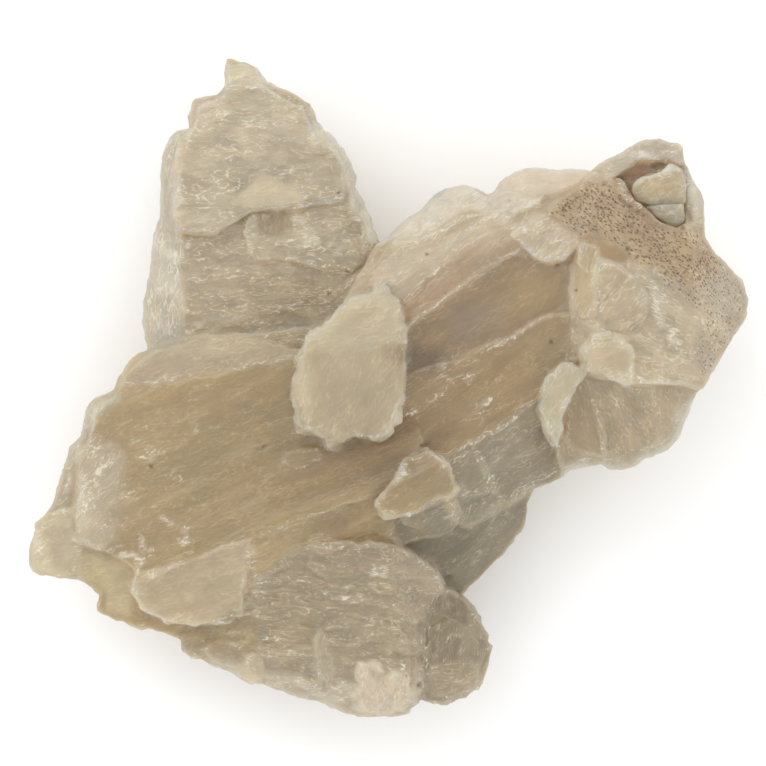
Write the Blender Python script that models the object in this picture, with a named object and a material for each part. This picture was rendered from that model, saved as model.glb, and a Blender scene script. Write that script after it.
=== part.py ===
"""Selenite crystal cluster, lying on its back on a small flat spot.

Blades of gypsum have grown through each other: a rear blade, a left crystal, a right crystal with a
weathered end, plates and small blades on top of them, and a lumpy mass at the front edge. Two loose
cleavage fragments are lodged in a hollow of the right crystal's end.

X runs right, Y runs to the rear blade's tip and Z is up. Every crystal is a plan outline raised between
two heights and trimmed by flat faces. Outlines and heights are in millimetres.
"""

import math
from typing import NamedTuple

import bmesh
import bpy
from mathutils import Vector

MM = 0.001
GAP = 0.3

# Heights that the rest is set against
REAR_TOP = 19.5
REAR_SHEET = 1.0
LEFT_TOP = 29.0
RIGHT_AXIS = 31.0
RIM_STEP = 26.6
TERRACE = 1.0
CREST = 31.4
TROUGH = 29.9
BROWN_FACE = 29.8
FRONT_TOP = 25.8
LAYER = 0.55
END_TOP = 33.0
CENTRE_TOP = 35.0
BELLY = 4.0
POCKET_FLOOR = END_TOP - 5.8

# Plan place that the right crystal's faces are set from
RIGHT_MIDDLE = (20.0, 10.0)


class Face(NamedTuple):
    """A flat crystal face: a point on it, the way it leans (degrees from +X) and its tilt from level."""

    x: float
    y: float
    z: float
    leans: float
    tilt: float


class Crystal(NamedTuple):
    """A crystal's plan outline, the heights it is raised between and the faces that trim it."""

    outline: tuple
    low: float
    high: float
    faces: tuple


REAR_OUTLINE = (
    (-22.4, 46.1), (-20.0, 45.5), (-18.5, 44.8), (-17.2, 43.0), (-15.0, 42.1), (-12.5, 40.8),
    (-11.2, 39.8), (-9.9, 37.2), (-9.3, 35.8), (-6.4, 33.5), (-5.0, 30.6), (-4.2, 29.7), (-4.9, 28.2),
    (-3.2, 25.5), (-1.8, 21.6), (-1.5, 20.0), (1.0, 10.0), (-6.0, -2.0), (-26.0, -3.0), (-31.0, 0.0),
    (-33.7, 5.1), (-34.2, 9.4), (-34.1, 12.1), (-33.1, 17.2), (-32.9, 21.9), (-31.9, 23.6), (-31.8, 29.7),
    (-31.1, 33.8), (-29.5, 35.8), (-27.6, 36.1), (-27.7, 38.2), (-27.1, 40.5), (-25.0, 40.7),
    (-23.5, 41.1), (-22.9, 42.3), (-22.8, 44.8),
)
REAR_SHEET_OUTLINE = (
    (-29.7, 21.6), (-27.8, 21.7), (-24.7, 21.4), (-22.7, 22.4), (-20.7, 24.0), (-19.0, 24.7),
    (-16.3, 24.9), (-13.9, 24.6), (-10.0, 25.4), (-6.4, 25.8), (-5.9, 27.8), (-6.2, 30.0), (-7.6, 33.0),
    (-10.4, 35.4), (-12.0, 38.9), (-15.6, 41.0), (-17.9, 42.6), (-22.2, 42.6), (-23.3, 40.2),
    (-26.6, 39.2), (-27.0, 36.4), (-29.2, 34.6), (-30.1, 31.0), (-29.8, 25.0),
)
REAR_MIDDLE_OUTLINE = (
    (-19.4, 18.6), (-18.1, 17.9), (-12.2, 17.7), (-10.7, 16.8), (-8.1, 16.7), (-6.1, 16.3), (-4.0, 17.3),
    (-2.4, 19.4), (-3.0, 22.4), (-4.6, 26.6), (-8.0, 28.0), (-18.0, 27.0), (-20.4, 23.0),
)
LEFT_BODY_OUTLINE = (
    (-33.9, 5.2), (-36.3, 3.4), (-38.5, -0.4), (-41.4, -1.8), (-42.2, -3.1), (-42.9, -6.8), (-44.6, -9.0),
    (-45.6, -12.2), (-46.8, -16.7), (-49.2, -18.9), (-49.6, -21.4), (-50.1, -23.8), (-49.8, -25.5),
    (-48.5, -26.2), (-43.1, -26.7), (-41.7, -27.7), (-40.2, -28.7), (-40.6, -31.1), (-38.0, -32.6),
    (-37.1, -32.4), (-35.3, -33.5), (-33.6, -33.5), (-31.2, -34.4), (-30.0, -34.7), (-22.0, -31.0),
    (-4.0, -24.0), (6.0, -14.0), (8.0, 2.0), (-6.0, 9.0), (-20.0, 7.6), (-28.0, 7.4),
)
LEFT_MAIN_OUTLINE = (
    (-32.6, 5.3), (-35.7, 2.9), (-37.2, 0.3), (-38.4, -1.6), (-40.9, -2.7), (-41.7, -7.2), (-43.5, -9.6),
    (-44.6, -12.6), (-45.3, -16.2), (-43.7, -17.2), (-43.6, -21.0), (-41.4, -22.3), (-38.6, -23.2),
    (-35.4, -25.0), (-35.4, -27.9), (-34.6, -27.9), (-30.0, -25.0), (-25.0, -23.1), (-20.0, -21.4),
    (-15.0, -19.5), (-9.8, -17.5), (-5.0, -15.8), (1.0, -13.6), (4.4, -10.6), (4.8, -7.0), (3.4, -3.6),
    (1.6, 4.0), (-3.0, 7.0), (-8.0, 7.0), (-12.7, 5.2), (-14.9, 6.0), (-17.6, 6.8), (-22.7, 7.5),
    (-25.0, 7.5), (-27.1, 6.8), (-29.5, 5.8),
)
LEFT_STEP_OUTLINE = (
    (-34.6, -25.4), (-30.0, -22.0), (-14.0, -17.0), (-17.0, -22.0), (-19.9, -24.0), (-19.9, -27.0),
    (-20.2, -31.6), (-21.7, -32.6), (-24.9, -32.9), (-28.1, -33.0), (-30.6, -32.7), (-34.4, -30.4),
    (-35.8, -28.0),
)
LEFT_BEVEL_OUTLINE = (
    (-21.0, -20.4), (-15.0, -17.8), (-4.0, -13.6), (4.0, -12.5), (6.4, -17.5), (5.6, -20.6), (0.0, -22.4),
    (-3.4, -22.6), (-8.8, -22.0), (-10.8, -22.4), (-15.0, -24.2), (-18.6, -27.4), (-21.0, -28.0),
)
LEFT_FACET_OUTLINE = (
    (-14.8, -10.6), (-14.4, -8.9), (-12.4, -8.3), (-9.6, -8.2), (-9.0, -9.8), (-10.9, -10.9),
    (-13.1, -11.4),
)
LEFT_TIP_OUTLINE = (
    (-48.9, -19.0), (-49.3, -21.4), (-49.7, -23.9), (-49.2, -25.3), (-46.4, -25.9), (-44.2, -25.6),
    (-43.4, -22.6), (-44.2, -19.4), (-43.8, -17.2), (-46.6, -17.4),
)
FRONT_OUTLINE = (
    (-23.4, -31.0), (-21.6, -27.0), (-18.2, -25.2), (-15.3, -23.9), (-12.8, -22.6), (-10.2, -21.8),
    (-7.6, -21.5), (-1.2, -21.8), (1.4, -22.1), (4.0, -23.4), (6.5, -25.0), (7.7, -27.4), (7.2, -29.3),
    (5.6, -31.4), (4.8, -36.0), (5.0, -41.0), (4.1, -43.9), (3.3, -44.6), (3.0, -45.6), (0.0, -46.1),
    (-4.7, -45.6), (-7.3, -44.7), (-10.8, -43.6), (-14.0, -42.7), (-16.0, -41.5), (-19.5, -41.2),
    (-21.4, -39.9), (-24.7, -38.6), (-27.2, -37.0), (-30.0, -34.7), (-28.2, -33.0), (-24.0, -32.4),
)
FRONT_LAYER_1_OUTLINE = (
    (-23.6, -33.2), (-20.4, -31.2), (-17.0, -30.6), (-14.2, -28.6), (-10.4, -28.9), (-7.0, -27.2),
    (-3.6, -27.9), (-0.6, -26.9), (2.2, -28.8), (3.6, -31.6), (4.2, -36.0), (4.0, -41.0), (3.4, -44.0),
    (-1.0, -45.6), (-7.3, -44.3), (-14.0, -42.2), (-19.5, -40.6), (-25.6, -37.2),
)
FRONT_LAYER_2_OUTLINE = (
    (-22.6, -35.9), (-19.0, -34.4), (-16.2, -34.9), (-12.6, -33.2), (-9.8, -33.9), (-6.6, -32.2),
    (-3.0, -33.0), (0.4, -31.8), (2.6, -34.4), (3.2, -38.6), (3.0, -43.6), (-1.0, -45.2), (-7.3, -44.0),
    (-14.0, -41.8), (-19.5, -40.2),
)
LOBE_LAYER_OUTLINE = (
    (5.8, -33.6), (8.4, -32.4), (11.2, -33.4), (12.4, -35.2), (13.4, -37.6), (12.6, -40.4), (10.4, -42.2),
    (7.2, -43.2), (5.6, -40.0), (5.2, -36.4),
)
FRONT_LOBE_OUTLINE = (
    (3.0, -28.0), (8.0, -28.2), (9.9, -29.2), (11.7, -30.9), (13.1, -32.5), (13.0, -33.7), (13.8, -34.6),
    (13.7, -35.8), (14.9, -36.6), (15.1, -37.5), (14.6, -38.8), (13.6, -39.6), (13.3, -41.2),
    (12.6, -42.0), (11.0, -43.1), (7.5, -44.4), (5.7, -43.9), (4.1, -43.9), (1.0, -42.0), (1.0, -32.0),
)
SHADED_OUTLINE = (
    (20.6, -14.4), (19.6, -16.4), (19.4, -19.6), (18.8, -21.1), (17.5, -23.0), (15.0, -25.3),
    (11.9, -27.8), (9.9, -29.2), (5.0, -30.5), (-4.0, -26.0), (-6.0, -18.0), (2.0, -10.0), (14.0, -6.0),
    (22.0, -8.0),
)
RIGHT_BODY_OUTLINE = (
    (-1.2, 20.2), (0.0, 20.9), (2.2, 23.1), (5.0, 25.1), (7.3, 27.5), (9.0, 28.1), (10.4, 28.2),
    (12.1, 27.8), (13.8, 26.7), (14.8, 27.1), (15.8, 28.5), (17.8, 30.0), (20.6, 30.4), (24.0, 30.1),
    (27.7, 30.0), (31.0, 27.0), (36.0, 16.0), (34.0, 2.0), (27.0, -6.0), (24.2, -12.4), (22.4, -13.4),
    (20.0, -13.9), (16.9, -16.1), (14.7, -17.4), (11.3, -19.3), (10.0, -18.9), (8.9, -18.0), (4.0, -12.0),
    (-3.0, -6.0), (-7.0, 4.0), (-5.0, 14.0),
)
TERRACE_1_OUTLINE = (
    (-2.6, 16.4), (0.9, 20.2), (3.9, 20.9), (6.0, 21.6), (10.0, 24.1), (13.6, 24.6), (17.4, 24.0),
    (21.6, 25.2), (27.0, 20.4), (17.5, 18.5), (12.4, 15.8), (6.5, 11.1), (2.4, 8.0), (-3.0, 9.0),
)
TERRACE_2_OUTLINE = (
    (-2.0, 10.4), (2.2, 12.9), (3.9, 14.1), (5.3, 15.8), (9.0, 18.4), (12.4, 20.9), (16.6, 22.6),
    (22.0, 21.6), (17.5, 18.5), (15.8, 17.8), (14.1, 16.8), (12.4, 15.8), (9.0, 12.8), (6.5, 11.1),
    (4.6, 9.7), (2.4, 8.0), (-2.0, 6.0),
)
FROSTED_OUTLINE = (
    (17.2, 21.4), (18.9, 19.2), (20.6, 17.8), (22.6, 17.3), (24.6, 17.8), (25.6, 19.2), (26.7, 20.0),
    (30.0, 20.4), (28.0, 26.6), (21.9, 24.6),
)
LOWER_FACE_OUTLINE = (
    (5.6, 3.0), (9.6, 4.0), (13.8, 6.0), (15.8, 6.8), (17.8, 7.7), (19.9, 9.2), (21.9, 10.0),
    (24.6, 10.4), (29.4, 9.6), (31.0, 0.0), (25.0, -12.0), (24.2, -12.6), (22.4, -13.6), (20.0, -14.1),
    (16.9, -16.3), (14.7, -17.6), (12.8, -18.8), (11.3, -19.5), (10.0, -19.1), (8.9, -18.2), (6.0, -14.0),
    (2.0, -9.0), (-1.0, -4.0), (0.0, 1.0),
)
UPPER_LEDGE_OUTLINE = (
    (8.3, -10.3), (11.4, -8.4), (12.3, -8.6), (13.2, -11.1), (14.7, -13.3), (14.9, -14.6), (11.8, -14.7),
    (10.9, -12.6), (9.2, -11.4),
)
LOWER_LEDGE_OUTLINE = (
    (8.6, -15.0), (11.8, -14.4), (15.4, -14.9), (15.9, -16.6), (12.8, -18.5), (11.3, -19.2),
    (10.1, -18.8), (8.9, -17.9),
)
END_OUTLINE = (
    (27.4, 2.2), (26.0, 4.6), (25.2, 8.0), (25.4, 12.0), (25.2, 17.0), (26.7, 20.0), (24.4, 22.4),
    (21.9, 25.0), (27.0, 28.4), (28.6, 30.3), (30.1, 31.4), (32.1, 32.4), (33.8, 33.6), (35.5, 34.4),
    (37.5, 34.5), (40.8, 33.8), (41.0, 33.1), (40.9, 31.3), (43.0, 27.9), (43.6, 26.0), (44.0, 20.9),
    (45.7, 18.5), (47.7, 16.8), (49.4, 14.8), (50.1, 12.8), (49.7, 10.4), (48.7, 8.3), (46.0, 3.9),
    (43.6, -0.2), (41.0, 0.6), (38.9, 0.5), (36.9, 0.7), (34.8, 0.5), (33.6, 0.9), (32.8, 0.5),
    (32.3, 1.2), (30.4, 1.7),
)
END_BLOCK_OUTLINE = (
    (28.9, 9.4), (29.3, 12.0), (28.8, 14.0), (29.2, 17.4), (31.4, 17.2), (33.5, 15.8), (35.5, 13.8),
    (36.4, 10.4), (34.4, 7.4), (31.4, 7.8),
)
UPPER_PLATE_OUTLINE = (
    (27.4, 2.2), (27.0, 5.0), (28.7, 7.5), (30.7, 7.5), (32.8, 6.8), (33.8, 6.0), (34.2, 5.0),
    (33.8, 3.6), (33.8, 0.7), (32.8, 0.3), (32.3, 1.0), (30.4, 1.5),
)
LOWER_PLATE_OUTLINE = (
    (23.8, 3.1), (25.7, 3.1), (27.4, 2.0), (26.0, -0.1), (25.0, -2.5), (24.3, -4.5), (24.0, -6.6),
    (23.1, -8.3), (21.9, -6.2), (21.2, -3.9), (21.1, -2.2), (21.4, -0.1), (21.8, 1.2), (22.6, 2.2),
)
PITTED_OUTLINE = (
    (26.0, 17.2), (26.7, 20.0), (24.4, 22.4), (21.9, 25.0), (27.0, 28.4), (28.6, 30.3), (30.1, 31.4),
    (32.1, 32.4), (33.8, 33.6), (35.5, 34.4), (37.5, 34.5), (40.8, 33.8), (41.0, 33.1), (40.9, 31.3),
    (43.0, 27.9), (43.6, 26.0), (44.0, 20.9), (40.0, 14.0), (30.0, 13.0),
)
RECESS_OUTLINE = (
    (24.0, -12.6), (23.0, -6.0), (25.0, 4.0), (34.0, 6.0), (42.6, 3.0), (43.5, 0.2), (42.3, -2.2),
    (41.4, -4.5), (40.4, -6.9), (39.2, -8.4), (37.9, -9.1), (35.8, -9.6), (34.5, -10.7), (32.8, -11.4),
    (31.1, -11.1), (29.9, -10.4), (28.0, -10.7), (25.7, -11.3),
)
RECESS_WEDGE_OUTLINE = (
    (24.4, -6.8), (25.0, -3.0), (27.2, 1.6), (28.5, -1.2), (29.7, -4.6), (30.4, -9.4), (27.6, -9.4),
)
CENTRE_OUTLINE = (
    (-0.6, 13.9), (-3.1, 12.8), (-4.7, 12.6), (-5.9, 11.8), (-8.4, 9.3), (-9.2, 8.2), (-10.6, 8.0),
    (-11.8, 5.4), (-12.6, 4.2), (-12.6, 2.3), (-13.4, -0.5), (-13.4, -2.1), (-12.8, -3.3), (-12.9, -4.9),
    (-12.3, -6.1), (-10.3, -6.1), (-8.6, -8.2), (-7.5, -8.6), (-6.4, -8.0), (-4.5, -6.6), (-3.1, -6.9),
    (-1.2, -7.0), (0.0, -6.1), (1.3, -4.1), (2.1, -1.4), (2.8, 4.2), (2.4, 8.3), (2.1, 10.1), (1.4, 11.5),
    (0.3, 13.2),
)
SMALL_OUTLINE = (
    (-1.7, -16.4), (-1.5, -15.7), (-0.6, -14.9), (0.0, -13.6), (1.3, -12.5), (2.5, -9.6), (5.0, -8.9),
    (6.6, -9.2), (7.7, -10.3), (8.8, -11.4), (9.3, -13.0), (9.6, -14.1), (8.6, -15.0), (5.7, -16.3),
    (3.9, -17.5), (2.5, -17.7), (1.0, -17.5), (-0.6, -17.6),
)
THROAT_OUTLINE = (
    (0.6, -14.0), (4.0, -12.0), (8.6, -13.0), (10.2, -17.0), (9.0, -20.2), (5.6, -21.0), (2.2, -18.6),
)
ROOT_OUTLINE = (
    (-27.0, -6.0), (-20.0, -17.0), (-8.0, -23.0), (8.0, -22.0), (20.0, -12.0), (28.0, 0.0), (24.0, 11.0),
    (10.0, 15.0), (-14.0, 13.0), (-24.0, 6.0),
)
POCKET_OUTLINE = (
    (31.3, 29.2), (33.4, 30.4), (35.2, 31.5), (37.4, 31.7), (39.4, 31.5), (40.7, 31.0), (41.45, 29.4),
    (41.5, 27.0), (41.35, 22.9), (39.7, 22.2), (38.0, 22.8), (36.6, 23.9), (35.6, 25.0), (34.2, 25.8),
    (33.6, 27.2), (32.4, 28.2),
)
SHARD_OUTLINE = (
    (34.0, 27.3), (34.3, 28.3), (35.5, 29.0), (37.9, 29.6), (39.2, 31.0), (40.5, 30.4), (41.1, 29.2),
    (41.15, 27.0), (41.0, 25.75), (37.2, 25.6), (34.6, 26.1),
)
FLAKE_OUTLINE = (
    (36.1, 24.95), (37.4, 25.25), (40.9, 25.4), (40.95, 23.3), (39.7, 22.75), (38.2, 23.3), (37.0, 24.2),
)
# Stubby crystals on the front mass: plan place, half width, half length, rise above the mass, axis
FRONT_STUBS = (
    (-2.7, -41.0, 2.6, 5.0, 2.1, 268), (1.3, -41.2, 2.4, 4.2, 1.9, 274),
    (-18.9, -38.2, 2.5, 2.8, 1.7, 248), (-15.4, -39.6, 1.8, 2.6, 1.5, 258),
    (-12.4, -40.0, 2.5, 3.4, 1.8, 262), (-9.0, -38.4, 1.5, 5.4, 1.6, 265),
    (-6.0, -41.4, 2.1, 3.2, 1.8, 262), (-23.0, -36.6, 2.6, 2.2, 1.3, 242),
    (-26.6, -35.4, 2.0, 2.6, 0.8, 236),
)
# Blades that show only from the sides and below: middle x and y, axis, half length, half width, low, high
UNDER_BLADES = {
    "under_right": (17.0, 5.0, 31.0, 27.0, 9.0, 1.2, 18.0),
    "under_left": (-23.0, -11.0, 24.0, 21.0, 8.0, 1.6, 16.0),
    "under_rear": (-15.5, 17.0, 104.0, 21.0, 7.0, 5.0, 16.0),
    "under_front": (-5.0, -29.0, 262.0, 13.0, 8.0, 1.8, 14.0),
}


# Rings of a crystal's plan corners, as shares of its half length and half width
BLADE_RING = ((1, 0.1), (0.72, 0.9), (-0.66, 1), (-1, 0.3), (-0.9, -0.5), (-0.5, -1), (0.7, -0.94))
STUB_RING = ((0.95, 0.35), (0.6, 0.95), (-0.7, 1.0), (-1.0, 0.4), (-0.92, -0.6), (0.5, -1.0), (0.9, -0.5))


def beside(x: float, y: float, axis: float, along: float, across: float) -> tuple:
    """A plan point some way along and across an axis from x, y."""
    turn = math.radians(axis)
    return (
        x + along * math.cos(turn) - across * math.sin(turn),
        y + along * math.sin(turn) + across * math.cos(turn),
    )


def right_face(across: float, height: float, side: int, tilt: float) -> Face:
    """A face along the right crystal, at a distance across its axis. Side 1 leans to the rear."""
    x, y = beside(*RIGHT_MIDDLE, RIGHT_AXIS, 0.0, across)
    return Face(x, y, height, RIGHT_AXIS + 90.0 * side, tilt)


def lifted(faces: tuple, rise: float) -> tuple:
    """The same faces, moved up."""
    return tuple(face._replace(z=face.z + rise) for face in faces)


def ringed(x: float, y: float, axis: float, half_length: float, half_width: float, ring: tuple) -> tuple:
    """A plan outline from a ring of shares of its half length and half width."""
    return tuple(beside(x, y, axis, half_length * along, half_width * across) for along, across in ring)


def blade_below(
    x: float, y: float, axis: float, half_length: float, half_width: float, low: float, high: float
) -> Crystal:
    """A pointed blade along an axis, with its sharp edge downwards."""
    outline = ringed(x, y, axis, half_length, half_width, BLADE_RING)
    left = beside(x, y, axis, 0.0, 0.12 * half_width)
    right = beside(x, y, axis, 0.0, -0.2 * half_width)
    tip = beside(x, y, axis, 0.45 * half_length, 0.0)
    tail = beside(x, y, axis, -0.5 * half_length, 0.0)
    return Crystal(outline, low, high, (
        Face(*left, low, axis + 90, 134), Face(*right, low, axis - 90, 138),
        Face(*tip, low, axis, 148), Face(*tail, low, axis + 180, 150),
    ))


def height_on(face: Face, x: float, y: float) -> float:
    """The height of a face above a plan point."""
    leans = math.radians(face.leans)
    fall = (x - face.x) * math.cos(leans) + (y - face.y) * math.sin(leans)
    return face.z - fall * math.tan(math.radians(face.tilt))


def front_stub(
    x: float, y: float, half_width: float, half_length: float, rise: float, axis: float
) -> Crystal:
    """A stubby crystal that stands a little proud of the front mass, with a blunt roof."""
    ground = min(FRONT_FACES, key=lambda face: height_on(face, x, y))
    outline = ringed(x, y, axis, half_length, half_width, STUB_RING)
    top = height_on(ground, x, y) + rise
    left = beside(x, y, axis, 0.0, 0.45 * half_width)
    right = beside(x, y, axis, 0.0, -0.5 * half_width)
    tail = beside(x, y, axis, -0.6 * half_length, 0.0)
    return Crystal(outline, top - 5.0, top + 5.0, (
        Face(x, y, top, ground.leans, ground.tilt),
        Face(*left, height_on(ground, *left) + rise, axis + 90, 34),
        Face(*right, height_on(ground, *right) + rise, axis - 90, 30),
        Face(*tail, height_on(ground, *tail) + rise, axis + 180, 24),
    ))


FRONT_FACES = (
    Face(-6, -23, FRONT_TOP, 265, 14), Face(-6, -38, FRONT_TOP - 3.8, 262, 42),
    Face(-20, -33, FRONT_TOP - 2.8, 218, 34), Face(2.2, -34, FRONT_TOP - 3.2, 352, 40),
)

LOBE_FACES = (
    Face(7, -35, 19.8, 330, 12), Face(10.6, -36, 18.6, 350, 46), Face(8, -40, 18.6, 278, 46),
    Face(8, -31.4, 19.4, 40, 30),
)

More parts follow.
